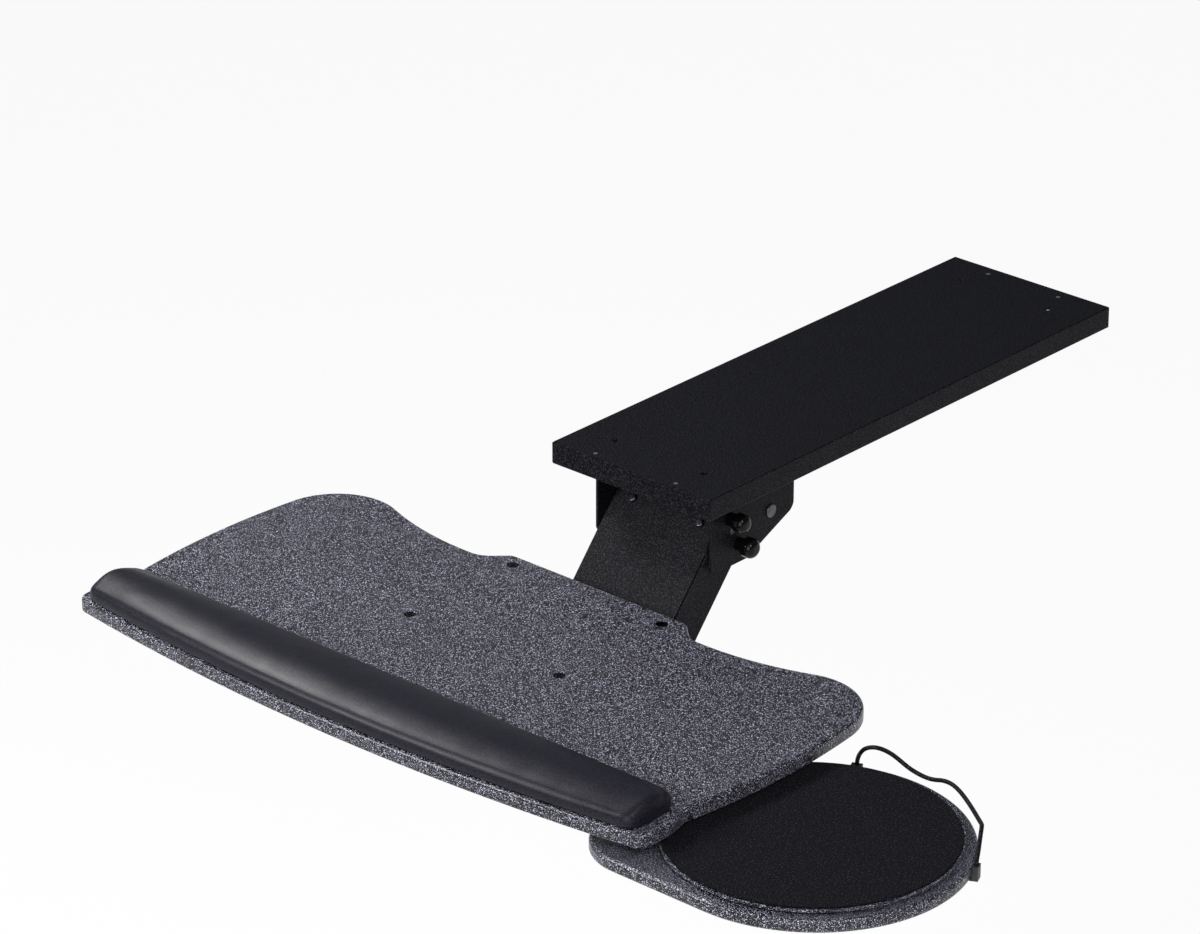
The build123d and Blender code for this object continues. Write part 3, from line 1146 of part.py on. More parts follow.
# Pivot of the mouse platform: bolt, spacer, washer and nut
MOUSE_WASHER_TOP = PLATFORM_UNDER - FACE_CLEARANCE
MOUSE_NUT_TOP = MOUSE_WASHER_TOP - MOUSE_WASHER
MOUSE_HEAD_UNDER = TRAY_TOP - MOUSE_BOLT_HEAD - MOUSE_BOLT_RECESS
with BuildPart() as mouse_pivot_bolt:
    with BuildSketch(over(MOUSE_HEAD_UNDER)):
        with Locations(MOUSE_PIVOT):
            Circle(MOUSE_BOLT_HEAD_RADIUS)
    extrude(amount=MOUSE_BOLT_HEAD)
    with BuildSketch(over(MOUSE_HEAD_UNDER)):
        with Locations(MOUSE_PIVOT):
            Circle(MOUSE_BOLT_RADIUS)
    extrude(amount=MOUSE_NUT_TOP - MOUSE_NUT - BOLT_TAIL - MOUSE_HEAD_UNDER)
mouse_pivot_bolt.part.label = "mouse_pivot_bolt"
export_step(mouse_pivot_bolt.part, "parts/mouse_pivot_bolt.step")

with BuildPart() as mouse_pivot_spacer:
    with BuildSketch(over(TRAY_UNDER)):
        with Locations(MOUSE_PIVOT):
            Circle(MOUSE_SPACER_RADIUS)
            Circle(MOUSE_BOLT_RADIUS, mode=Mode.SUBTRACT)
    extrude(amount=-(MOUSE_SPACER - FACE_CLEARANCE))
mouse_pivot_spacer.part.label = "mouse_pivot_spacer"
export_step(mouse_pivot_spacer.part, "parts/mouse_pivot_spacer.step")

with BuildPart() as mouse_pivot_washer:
    with BuildSketch(over(MOUSE_WASHER_TOP)):
        with Locations(MOUSE_PIVOT):
            Circle(MOUSE_WASHER_RADIUS)
            Circle(MOUSE_BOLT_RADIUS, mode=Mode.SUBTRACT)
    extrude(amount=-MOUSE_WASHER)
mouse_pivot_washer.part.label = "mouse_pivot_washer"
export_step(mouse_pivot_washer.part, "parts/mouse_pivot_washer.step")

with BuildPart() as mouse_pivot_nut:
    with BuildSketch(over(MOUSE_NUT_TOP)):
        with Locations(MOUSE_PIVOT):
            RegularPolygon(MOUSE_NUT_RADIUS, 6)
            Circle(MOUSE_BOLT_RADIUS, mode=Mode.SUBTRACT)
    extrude(amount=-MOUSE_NUT)
mouse_pivot_nut.part.label = "mouse_pivot_nut"
export_step(mouse_pivot_nut.part, "parts/mouse_pivot_nut.step")

# Mouse platform, a large round with a nose over its pivot
with BuildPart() as mouse_platform:
    with BuildSketch(over(PLATFORM_TOP)):
        with Locations((PAD_X, PAD_Y)):
            Circle(RIM_RADIUS)
        with Locations((NOSE_X, NOSE_Y)):
            Circle(MOUSE_NOSE_RADIUS)
        make_hull()
    extrude(amount=-PLATFORM_THICKNESS)
    fillet(mouse_platform.edges().group_by(Axis.Z)[-1], PLATFORM_ROUND)
    fillet(mouse_platform.edges().group_by(Axis.Z)[0], PLATFORM_ROUND)
    with BuildSketch(over(PLATFORM_TOP)):
        with Locations(MOUSE_PIVOT):
            Circle(MOUSE_BOLT_RADIUS + SHAFT_CLEARANCE)
    extrude(amount=-PLATFORM_THICKNESS, mode=Mode.SUBTRACT)
mouse_platform.part.label = "mouse_platform"
export_step(mouse_platform.part, "parts/mouse_platform.step")

# Disc on the platform, with a smaller foot that leaves a groove round it, and the cloth pad on it
with BuildPart() as pad_disc:
    with BuildSketch(over(PLATFORM_TOP)):
        with Locations((PAD_X, PAD_Y)):
            Circle(PAD_RADIUS - PAD_FOOT_INSET)
    extrude(amount=PAD_FOOT)
    with BuildSketch(over(PLATFORM_TOP + PAD_FOOT)):
        with Locations((PAD_X, PAD_Y)):
            Circle(PAD_RADIUS)
    extrude(amount=PAD_DISC)
pad_disc.part.label = "pad_disc"
export_step(pad_disc.part, "parts/pad_disc.step")

with BuildPart() as mouse_pad:
    with BuildSketch(over(PLATFORM_TOP + PAD_FOOT + PAD_DISC)):
        with Locations((PAD_X, PAD_Y)):
            Circle(PAD_RADIUS)
    extrude(amount=PAD_FABRIC)
    fillet(mouse_pad.edges().group_by(Axis.Z)[-1], PAD_EDGE)
mouse_pad.part.label = "mouse_pad"
export_step(mouse_pad.part, "parts/mouse_pad.step")


def round_pad(angle, gap, height):
    """Point at an angle round the pad, a gap outside the platform's rim and a height over its top."""
    reach = RIM_RADIUS + gap
    return (PAD_X + reach * cos(radians(angle)), PAD_Y + reach * sin(radians(angle)), PLATFORM_TOP + height)


# Wire guard that stands behind the pad
WIRE_POINTS = (
    round_pad(WIRE_LEFT_BEND[0], WIRE_LEFT_BEND[1], WIRE_LEFT_BEND[2] - WIRE_GRIP),
    round_pad(*WIRE_LEFT_BEND),
    *(round_pad(*place) for place in WIRE_ROUTE),
    round_pad(*WIRE_RIGHT_BEND),
    round_pad(*WIRE_RIGHT_KNEE),
    round_pad(WIRE_RIGHT_KNEE[0], WIRE_RIGHT_KNEE[1], WIRE_RIGHT_KNEE[2] - WIRE_GRIP),
)
WIRE_RADII = (WIRE_BEND_RADIUS, *(WIRE_SWEEP_RADIUS for place in WIRE_ROUTE), *(2 * (WIRE_BEND_RADIUS,)))
with BuildPart() as mouse_guard:
    with BuildLine():
        FilletPolyline(*WIRE_POINTS, radius=WIRE_RADII)
    with BuildSketch(Plane(origin=WIRE_POINTS[0], z_dir=(0, 0, 1))):
        Circle(WIRE_RADIUS)
    sweep()
mouse_guard.part.label = "mouse_guard"
export_step(mouse_guard.part, "parts/mouse_guard.step")


def clip_plane(angle, height):
    """Plane at the pad's centre whose local x points out at the angle."""
    out = (cos(radians(angle)), sin(radians(angle)), 0)
    return Plane(origin=(PAD_X, PAD_Y, PLATFORM_TOP + height), x_dir=out, z_dir=(0, 0, 1))


# Clips on the platform's rim, each a block that grips the wire and a foot that is bonded under the rim
with BuildPart() as guard_clips:
    for clip_angle in (CLIP_LEFT_ANGLE, CLIP_RIGHT_ANGLE):
        with BuildSketch(clip_plane(clip_angle, -CLIP_DROP)):
            Circle(RIM_RADIUS + CLIP_BODY)
            Circle(RIM_RADIUS, mode=Mode.SUBTRACT)
            with Locations((RIM_RADIUS, 0)):
                Rectangle(2 * CLIP_BODY, CLIP_WIDTH, mode=Mode.INTERSECT)
        extrude(amount=-(PLATFORM_THICKNESS + CLIP_FOOT - CLIP_DROP))
        with BuildSketch(clip_plane(clip_angle, -(PLATFORM_THICKNESS + CLIP_FOOT))):
            with BuildLine():
                CenterArc((0, 0), RIM_RADIUS + CUT, -CLIP_FOOT_ANGLE / 2, CLIP_FOOT_ANGLE)
                CenterArc((0, 0), RIM_RADIUS - CLIP_FOOT_DEPTH, -CLIP_FOOT_ANGLE / 2, CLIP_FOOT_ANGLE)
                for edge_angle in (-CLIP_FOOT_ANGLE / 2, CLIP_FOOT_ANGLE / 2):
                    Line(
                        Vector(RIM_RADIUS - CLIP_FOOT_DEPTH, 0).rotate(Axis.Z, edge_angle),
                        Vector(RIM_RADIUS + CUT, 0).rotate(Axis.Z, edge_angle),
                    )
            make_face()
        extrude(amount=CLIP_FOOT)
        with BuildSketch(clip_plane(clip_angle, -CLIP_DROP)):
            with Locations((RIM_RADIUS + WIRE_RIM_GAP, 0)):
                Circle(WIRE_RADIUS + SHAFT_CLEARANCE)
        extrude(amount=-(WIRE_GRIP - WIRE_LEFT_BEND[2] - CLIP_DROP), mode=Mode.SUBTRACT)
guard_clips.part.label = "guard_clips"
export_step(guard_clips.part, "parts/guard_clips.step")
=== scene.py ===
import logging
import math
from collections.abc import Mapping, Sequence
from dataclasses import dataclass
from enum import Enum
from typing import Any

import bmesh
import bpy
from mathutils import Matrix, Vector


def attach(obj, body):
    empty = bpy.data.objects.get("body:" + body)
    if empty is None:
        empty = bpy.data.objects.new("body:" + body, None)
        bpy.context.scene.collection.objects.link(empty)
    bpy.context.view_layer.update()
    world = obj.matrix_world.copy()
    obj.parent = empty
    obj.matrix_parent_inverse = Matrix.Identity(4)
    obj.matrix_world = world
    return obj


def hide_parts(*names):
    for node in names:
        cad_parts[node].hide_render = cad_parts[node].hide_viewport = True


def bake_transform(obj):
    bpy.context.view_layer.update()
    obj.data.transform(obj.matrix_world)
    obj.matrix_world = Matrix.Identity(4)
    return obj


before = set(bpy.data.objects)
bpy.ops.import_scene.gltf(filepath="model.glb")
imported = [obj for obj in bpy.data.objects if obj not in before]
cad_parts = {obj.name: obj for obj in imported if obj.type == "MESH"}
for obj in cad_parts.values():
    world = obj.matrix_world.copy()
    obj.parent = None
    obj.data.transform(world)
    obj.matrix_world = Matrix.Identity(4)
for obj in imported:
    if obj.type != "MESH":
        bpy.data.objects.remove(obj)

LOG = logging.getLogger("keyboard_tray")
MM = 0.001
TINY = 1e-6

Point = tuple[float, float, float]
Stops = Sequence[tuple[float, str]]
Skin = tuple[list[Point], list[list[int]]]


# Small helpers for colours, shader nodes and meshes


def linear(hex_colour: str) -> tuple[float, float, float, float]:
    """Turn an sRGB hex colour into linear values, by the sRGB standard's own constants.

    Args:
        hex_colour: Six hex digits after a hash sign.

    Returns:
        Red, green, blue and an alpha of one.
    """
    parts = [int(hex_colour[n : n + 2], 16) / 255 for n in (1, 3, 5)]
    red, green, blue = (c / 12.92 if c <= 0.04045 else ((c + 0.055) / 1.055) ** 2.4 for c in parts)
    return (red, green, blue, 1.0)


def per_metre(size_mm: float) -> float:
    """Return the texture scale that gives features of a real size in millimetres."""
    return 1.0 / (size_mm * MM)


def add_node(
    tree: bpy.types.NodeTree,
    kind: str,
    settings: Mapping[str, Any] | None = None,
    inputs: Mapping[str | int, Any] | None = None,
    stops: Stops = (),
) -> bpy.types.Node:
    """Add a shader node, set its options, and set or link its inputs.

    Args:
        tree: The node tree to add to.
        kind: Blender's name for the node type.
        settings: Option names and their values.
        inputs: Input names or numbers, each with a value or a socket to link from.
        stops: A colour ramp's positions from 0 to 1, each with a hex colour.

    Returns:
        The new node.
    """
    node = tree.nodes.new(kind)
    for name, value in (settings or {}).items():
        setattr(node, name, value)
    for name, value in (inputs or {}).items():
        if isinstance(value, bpy.types.NodeSocket):
            tree.links.new(value, node.inputs[name])
        else:
            node.inputs[name].default_value = value
    elements = node.color_ramp.elements if stops else ()
    while len(elements) < len(stops):
        elements.new(0.5)
    for element, (place, colour) in zip(elements, stops):
        element.position = place
        element.color = linear(colour)
    return node


def seen_straight(tree: bpy.types.NodeTree) -> bpy.types.NodeSocket:
    """Tell whether a ray comes from the camera or from a mirror or glass.

    Args:
        tree: The node tree to add to.

    Returns:
        A socket that is one for such rays.
    """
    path = add_node(tree, "ShaderNodeLightPath")
    first = add_node(
        tree,
        "ShaderNodeMath",
        {"operation": "MAXIMUM"},
        {0: path.outputs["Is Camera Ray"], 1: path.outputs["Is Glossy Ray"]},
    )
    both = add_node(
        tree,
        "ShaderNodeMath",
        {"operation": "MAXIMUM"},
        {0: first.outputs[0], 1: path.outputs["Is Transmission Ray"]},
    )
    return both.outputs[0]


def mesh_object(
    name: str, vertices: Sequence[Point], faces: Sequence[Sequence[int]]
) -> bpy.types.Object:
    """Make a smooth-shaded mesh object from points in metres.

    Args:
        name: The object's name.
        vertices: Points in the part's frame.
        faces: Vertex numbers of each face.

    Returns:
        The object, linked to the scene.
    """
    mesh = bpy.data.meshes.new(name)
    mesh.from_pydata([tuple(v) for v in vertices], [], [tuple(f) for f in faces])
    mesh.validate()
    work = bmesh.new()
    work.from_mesh(mesh)
    bmesh.ops.recalc_face_normals(work, faces=work.faces)
    for face in work.faces:
        face.smooth = True
    work.to_mesh(mesh)
    work.free()
    thing = bpy.data.objects.new(name, mesh)
    bpy.context.scene.collection.objects.link(thing)
    return thing


def loft(rings: Sequence[Sequence[Point]]) -> Skin:
    """Join rings of equal length into a skin with closed ends.

    Args:
        rings: Closed rings of points, in order.

    Returns:
        The vertices and the faces.
    """
    count = len(rings[0])
    vertices = [point for ring in rings for point in ring]
    faces: list[list[int]] = []
    for row in range(len(rings) - 1):
        low, high = row * count, (row + 1) * count
        for n in range(count):
            m = (n + 1) % count
            faces.append([low + n, low + m, high + m, high + n])
    last = (len(rings) - 1) * count
    faces.append([count - 1 - n for n in range(count)])
    faces.append([last + n for n in range(count)])
    return vertices, faces


def tube(route: Sequence[Vector], radius: float, sides: int) -> Skin:
    """Sweep a circle along a route without twisting it.

    Args:
        route: The points that the tube's centre follows, in metres.
        radius: The tube's radius in metres.
        sides: How many points go round the tube.

    Returns:
        The vertices and the faces.
    """
    rings = []
    across = Vector((1, 0, 0))
    for n, place in enumerate(route):
        ahead = (route[min(n + 1, len(route) - 1)] - route[max(n - 1, 0)]).normalized()
        across = across - ahead * across.dot(ahead)
        if across.length < TINY:
            across = ahead.orthogonal()
        across.normalize()
        up = ahead.cross(across)
        turns = (math.tau * k / sides for k in range(sides))
        rings.append(
            [tuple(place + (across * math.cos(t) + up * math.sin(t)) * radius) for t in turns]
        )
    return loft(rings)


# Finishes


@dataclass(frozen=True)
class Finish:
    """A surface finish that turns itself into a material.

    Attributes:
        name: The material's name.
        roughness: Roughness of the surface, typical of its kind.
    """

    name: str
    roughness: float

    def dress(self, tree: bpy.types.NodeTree, shader: bpy.types.Node) -> None:
        """Set and link the shader's inputs.

        Args:
            tree: The material's node tree.
            shader: Its principled shader.
        """
        raise NotImplementedError

    def vary_roughness(
        self,
        tree: bpy.types.NodeTree,
        shader: bpy.types.Node,
        factor: bpy.types.NodeSocket,
        smoother: float,
        rougher: float,
    ) -> None:
        """Let a pattern take the roughness a little under and over its typical value.

        Args:
            tree: The material's node tree.
            shader: Its principled shader.
            factor: The pattern.
            smoother: How far the roughness may fall.
            rougher: How far it may rise.
        """
        limits = {"To Min": self.roughness - smoother, "To Max": self.roughness + rougher}
        spread = add_node(tree, "ShaderNodeMapRange", inputs={"Value": factor, **limits})
        tree.links.new(spread.outputs["Result"], shader.inputs["Roughness"])

    def material(self) -> bpy.types.Material:
        """Return the finish's material, made once.

        Returns:
            The material.
        """
        known = bpy.data.materials.get(self.name)
        if known:
            return known
        material = bpy.data.materials.new(self.name)
        material.use_nodes = True
        tree = material.node_tree
        shader = tree.nodes["Principled BSDF"]
        shader.inputs["Roughness"].default_value = self.roughness
        self.dress(tree, shader)
        return material


@dataclass(frozen=True)
class HammertoneBoard(Finish):
    """Fibreboard, sprayed with hammertone enamel and oven dried.

    The enamel draws into dark cells with pale flakes between them, so the board is a slate grey
    that sparkles. The clear layer on top gives its rounded edges a faint gloss.

    Attributes:
        grain_mm: Size of the enamel's cells, drawn a little coarse so that they show.
        flake_mm: Spacing of the palest flakes, drawn coarse for the same reason.
        ground: Colours from the cells' middles to the flakes between them.
        flake: Colour of the palest flakes.
        flake_reach: Where a palest flake ends, as a share of their spacing.
        relief_mm: Height of the cells.
        relief_share: Strength of that height.
        gloss: Strength of the enamel's mirror reflection.
        coat: Share of the clear layer.
        coat_roughness: Roughness of the clear layer.
    """

    grain_mm: float = 0.9
    flake_mm: float = 2.0
    ground: Stops = ((0.5, "#050507"), (0.57, "#17171e"), (0.61, "#595964"), (0.66, "#cfcfe4"))
    flake: str = "#b2b2ca"
    flake_reach: Stops = ((0.08, "#d0d0d0"), (0.17, "#000000"))
    relief_mm: float = 0.2
    relief_share: float = 0.8
    gloss: float = 0.3
    coat: float = 0.2
    coat_roughness: float = 0.3

    def dress(self, tree: bpy.types.NodeTree, shader: bpy.types.Node) -> None:
        """Lay pale flakes over dark cells and pebble the surface.

        Args:
            tree: The material's node tree.
            shader: Its principled shader.
        """
        place = add_node(tree, "ShaderNodeTexCoord").outputs["Object"]
        cells = add_node(
            tree,
            "ShaderNodeTexNoise",
            inputs={
                "Vector": place,
                "Scale": per_metre(self.grain_mm),
                "Detail": 1.0,
                "Roughness": 0.6,
                "Distortion": 0.3,
            },
        )
        flakes = add_node(
            tree,
            "ShaderNodeTexVoronoi",
            {"feature": "F1"},
            {"Vector": place, "Scale": per_metre(self.flake_mm), "Randomness": 1.0},
        )
        ground = add_node(
            tree, "ShaderNodeValToRGB", inputs={"Fac": cells.outputs["Fac"]}, stops=self.ground
        )
        glint = add_node(
            tree,
            "ShaderNodeValToRGB",
            inputs={"Fac": flakes.outputs["Distance"]},
            stops=self.flake_reach,
        )
        mixed = add_node(
            tree,
            "ShaderNodeMix",
            {"data_type": "RGBA"},
            {0: glint.outputs["Color"], 6: ground.outputs["Color"], 7: linear(self.flake)},
        )
        pebble = add_node(
            tree,
            "ShaderNodeBump",
            inputs={
                "Strength": self.relief_share,
                "Distance": self.relief_mm * MM,
                "Height": cells.outputs["Fac"],
            },
        )
        shader.inputs["Specular IOR Level"].default_value = self.gloss
        shader.inputs["Coat Weight"].default_value = self.coat
        shader.inputs["Coat Roughness"].default_value = self.coat_roughness
        tree.links.new(mixed.outputs[2], shader.inputs["Base Color"])
        tree.links.new(pebble.outputs["Normal"], shader.inputs["Normal"])


@dataclass(frozen=True)
class PowderCoat(Finish):
    """Polyester powder coat, melted onto the steel: near black and matt.

    The powder flows out unevenly, which leaves a fine orange peel with paler specks on it.

    Attributes:
        colour: The coat's colour.
        speck: Colour of its paler specks.
        texture_mm: Spacing of the orange peel.
        gloss: Strength of its mirror reflection.
        speck_span: Where in the texture a speck starts and where it is full.
        relief_mm: Height of the orange peel.
        relief_share: Strength of that height.
        cloud_mm: Size of the areas that differ in roughness.
    """

    colour: str = "#030304"
    speck: str = "#33333b"
    texture_mm: float = 1.2
    gloss: float = 0.08
    speck_span: tuple[float, float] = (0.48, 0.72)
    relief_mm: float = 0.05
    relief_share: float = 0.3
    cloud_mm: float = 24.0

    def dress(self, tree: bpy.types.NodeTree, shader: bpy.types.Node) -> None:
        """Speckle the coat, vary its roughness slightly and add the orange peel.

        Args:
            tree: The material's node tree.
            shader: Its principled shader.
        """
        place = add_node(tree, "ShaderNodeTexCoord").outputs["Object"]
        fine = add_node(
            tree,
            "ShaderNodeTexNoise",
            inputs={
                "Vector": place,
                "Scale": per_metre(self.texture_mm),
                "Detail": 2.0,
                "Roughness": 0.6,
            },
        )
        cloud = add_node(
            tree,
            "ShaderNodeTexNoise",
            inputs={"Vector": place, "Scale": per_metre(self.cloud_mm), "Detail": 3.0},
        )
        tone = add_node(
            tree,
            "ShaderNodeValToRGB",
            inputs={"Fac": fine.outputs["Fac"]},
            stops=tuple(zip(self.speck_span, (self.colour, self.speck))),
        )
        bump = add_node(
            tree,
            "ShaderNodeBump",
            inputs={
                "Strength": self.relief_share,
                "Distance": self.relief_mm * MM,
                "Height": fine.outputs["Fac"],
            },
        )
        shader.inputs["Specular IOR Level"].default_value = self.gloss
        tree.links.new(tone.outputs["Color"], shader.inputs["Base Color"])
        tree.links.new(bump.outputs["Normal"], shader.inputs["Normal"])
        self.vary_roughness(tree, shader, cloud.outputs["Fac"], smoother=0.05, rougher=0.06)


@dataclass(frozen=True)
class PlatedSteel(Finish):
    """Zinc electroplated or oiled steel: a dull metal.

    Plating and oil settle in faint clouds, some a little darker and smoother than others.

    Attributes:
        colour: Reflection colour of the metal.
        dark: Colour in its darker clouds.
        cloud_mm: Size of the clouds.
        cloud_span: Where in the pattern the darkest and the palest tone lie.
    """

    colour: str = "#b9bbbd"
    dark: str = "#8d9094"
    cloud_mm: float = 5.0
    cloud_span: tuple[float, float] = (0.3, 0.7)

    def dress(self, tree: bpy.types.NodeTree, shader: bpy.types.Node) -> None:
        """Cloud the metal and scuff its roughness.

        Args:
            tree: The material's node tree.
            shader: Its principled shader.
        """
        place = add_node(tree, "ShaderNodeTexCoord").outputs["Object"]
        cloud = add_node(
            tree,
            "ShaderNodeTexNoise",
            inputs={
                "Vector": place,
                "Scale": per_metre(self.cloud_mm),
                "Detail": 5.0,
                "Roughness": 0.65,
            },
        )
        tone = add_node(
            tree,
            "ShaderNodeValToRGB",
            inputs={"Fac": cloud.outputs["Fac"]},
            stops=tuple(zip(self.cloud_span, (self.dark, self.colour))),
        )
        shader.inputs["Metallic"].default_value = 1.0
        tree.links.new(tone.outputs["Color"], shader.inputs["Base Color"])
        self.vary_roughness(tree, shader, cloud.outputs["Fac"], smoother=0.06, rougher=0.1)


@dataclass(frozen=True)
class MouldedPlastic(Finish):
    """Injection-moulded nylon or ABS, or moulded rubber: an even colour.

    The mould's spark-eroded or polished wall leaves its own fine texture on the surface.

    Attributes:
        colour: The material's colour.
        highlight: Colour on the texture's peaks.
        texture_mm: Spacing of the texture, drawn coarser than a mould's so that it shows.
        relief_mm: Depth of the texture.
        gloss: Strength of its mirror reflection.
        tone_span: Where in the texture the two colours lie.
        relief_share: Strength of the texture's depth.
    """

    colour: str = "#161617"
    highlight: str = "#222224"
    texture_mm: float = 0.6
    relief_mm: float = 0.02
    gloss: float = 0.5
    tone_span: tuple[float, float] = (0.3, 0.75)
    relief_share: float = 0.25

    def dress(self, tree: bpy.types.NodeTree, shader: bpy.types.Node) -> None:
        """Texture the moulded surface.

        Args:
            tree: The material's node tree.
            shader: Its principled shader.
        """
        place = add_node(tree, "ShaderNodeTexCoord").outputs["Object"]
        fine = add_node(
            tree,
            "ShaderNodeTexNoise",
            inputs={"Vector": place, "Scale": per_metre(self.texture_mm), "Detail": 2.0},
        )
        tone = add_node(
            tree,
            "ShaderNodeValToRGB",
            inputs={"Fac": fine.outputs["Fac"]},
            stops=tuple(zip(self.tone_span, (self.colour, self.highlight))),
        )
        bump = add_node(
            tree,
            "ShaderNodeBump",
            inputs={
                "Strength": self.relief_share,
                "Distance": self.relief_mm * MM,
                "Height": fine.outputs["Fac"],
            },
        )
        shader.inputs["Specular IOR Level"].default_value = self.gloss
        tree.links.new(tone.outputs["Color"], shader.inputs["Base Color"])
        tree.links.new(bump.outputs["Normal"], shader.inputs["Normal"])


@dataclass(frozen=True)
class PadCloth(Finish):
    """Brushed polyester jersey, bonded to foam: matt black.

    Brushing raises a short fuzz, whose tips are tiny pale points, and leaves a soft sheen.

    Attributes:
        thread_mm: Spacing of the threads, drawn coarser than the real 0.3 mm so that it shows.
        fuzz_mm: Spacing of the pale points, drawn coarse for the same reason.
        fuzz: Colours from between the tips to the tips.
        relief_mm: Height of the threads.
        relief_share: Strength of that height.
        gloss: Strength of its mirror reflection.
        sheen: Share of the soft sheen.
        sheen_roughness: Spread of the soft sheen.
    """

    thread_mm: float = 1.1
    fuzz_mm: float = 1.4
    fuzz: Stops = ((0.48, "#010102"), (0.58, "#050509"), (0.68, "#343448"))
    relief_mm: float = 0.15
    relief_share: float = 0.4
    gloss: float = 0.08
    sheen: float = 0.015
    sheen_roughness: float = 0.6

    def dress(self, tree: bpy.types.NodeTree, shader: bpy.types.Node) -> None:
        """Weave the cloth and give it a soft sheen.

        Args:
            tree: The material's node tree.
            shader: Its principled shader.
        """
        place = add_node(tree, "ShaderNodeTexCoord").outputs["Object"]
        threads = add_node(
            tree,
            "ShaderNodeTexVoronoi",
            {"feature": "F1"},
            {"Vector": place, "Scale": per_metre(self.thread_mm), "Randomness": 0.7},
        )
        fuzz = add_node(
            tree,
            "ShaderNodeTexNoise",
            inputs={
                "Vector": place,
                "Scale": per_metre(self.fuzz_mm),
                "Detail": 2.0,
                "Roughness": 0.7,
            },
        )
        tone = add_node(
            tree, "ShaderNodeValToRGB", inputs={"Fac": fuzz.outputs["Fac"]}, stops=self.fuzz
        )
        bump = add_node(
            tree,
            "ShaderNodeBump",
            inputs={
                "Strength": self.relief_share,
                "Distance": self.relief_mm * MM,
                "Height": threads.outputs["Distance"],
            },
        )
        shader.inputs["Sheen Weight"].default_value = self.sheen
        shader.inputs["Sheen Roughness"].default_value = self.sheen_roughness
        shader.inputs["Specular IOR Level"].default_value = self.gloss
        tree.links.new(tone.outputs["Color"], shader.inputs["Base Color"])
        tree.links.new(bump.outputs["Normal"], shader.inputs["Normal"])


@dataclass(frozen=True)
class Leatherette(Finish):
    """Polyurethane leatherette, embossed with a pore grain and glued over foam: satin black.

    The grain scatters the sheen a little, and the foam leaves shallow waves in the cover.

    Attributes:
        pore_mm: Spacing of the pores, drawn a little coarse so that they show.
        grain_mm: Spacing of the paler points of the grain.
        sag_mm: Size of the shallow waves.
        grain: Colours from the dark ground to the paler points.
        sag_relief_mm: Height of the waves.
        sag_share: Strength of the waves.
        pore_relief_mm: Depth of the pores.
        pore_share: Strength of the pores.
        gloss: Strength of its mirror reflection.
    """

    pore_mm: float = 1.3
    grain_mm: float = 0.78
    sag_mm: float = 34.0
    grain: Stops = ((0.4, "#08080c"), (0.66, "#272631"))
    sag_relief_mm: float = 1.2
    sag_share: float = 0.6
    pore_relief_mm: float = 0.16
    pore_share: float = 0.5
    gloss: float = 0.17

    def dress(self, tree: bpy.types.NodeTree, shader: bpy.types.Node) -> None:
        """Grain the surface and soften its gloss in places.

        Args:
            tree: The material's node tree.
            shader: Its principled shader.
        """
        place = add_node(tree, "ShaderNodeTexCoord").outputs["Object"]
        pores = add_node(
            tree,
            "ShaderNodeTexVoronoi",
            {"feature": "DISTANCE_TO_EDGE"},
            {"Vector": place, "Scale": per_metre(self.pore_mm)},
        )
        sag, grain = (
            add_node(
                tree,
                "ShaderNodeTexNoise",
                inputs={"Vector": place, "Scale": per_metre(size), "Detail": 1.0},
            ).outputs["Fac"]
            for size in (self.sag_mm, self.grain_mm)
        )
        waves = add_node(
            tree,
            "ShaderNodeBump",
            inputs={
                "Strength": self.sag_share,
                "Distance": self.sag_relief_mm * MM,
                "Height": sag,
            },
        )
        bump = add_node(
            tree,
            "ShaderNodeBump",
            inputs={
                "Strength": self.pore_share,
                "Distance": self.pore_relief_mm * MM,
                "Height": pores.outputs["Distance"],
                "Normal": waves.outputs["Normal"],
            },
        )
        tone = add_node(tree, "ShaderNodeValToRGB", inputs={"Fac": grain}, stops=self.grain)
        shader.inputs["Specular IOR Level"].default_value = self.gloss
        tree.links.new(tone.outputs["Color"], shader.inputs["Base Color"])
        tree.links.new(bump.outputs["Normal"], shader.inputs["Normal"])
        self.vary_roughness(tree, shader, sag, smoother=0.05, rougher=0.05)


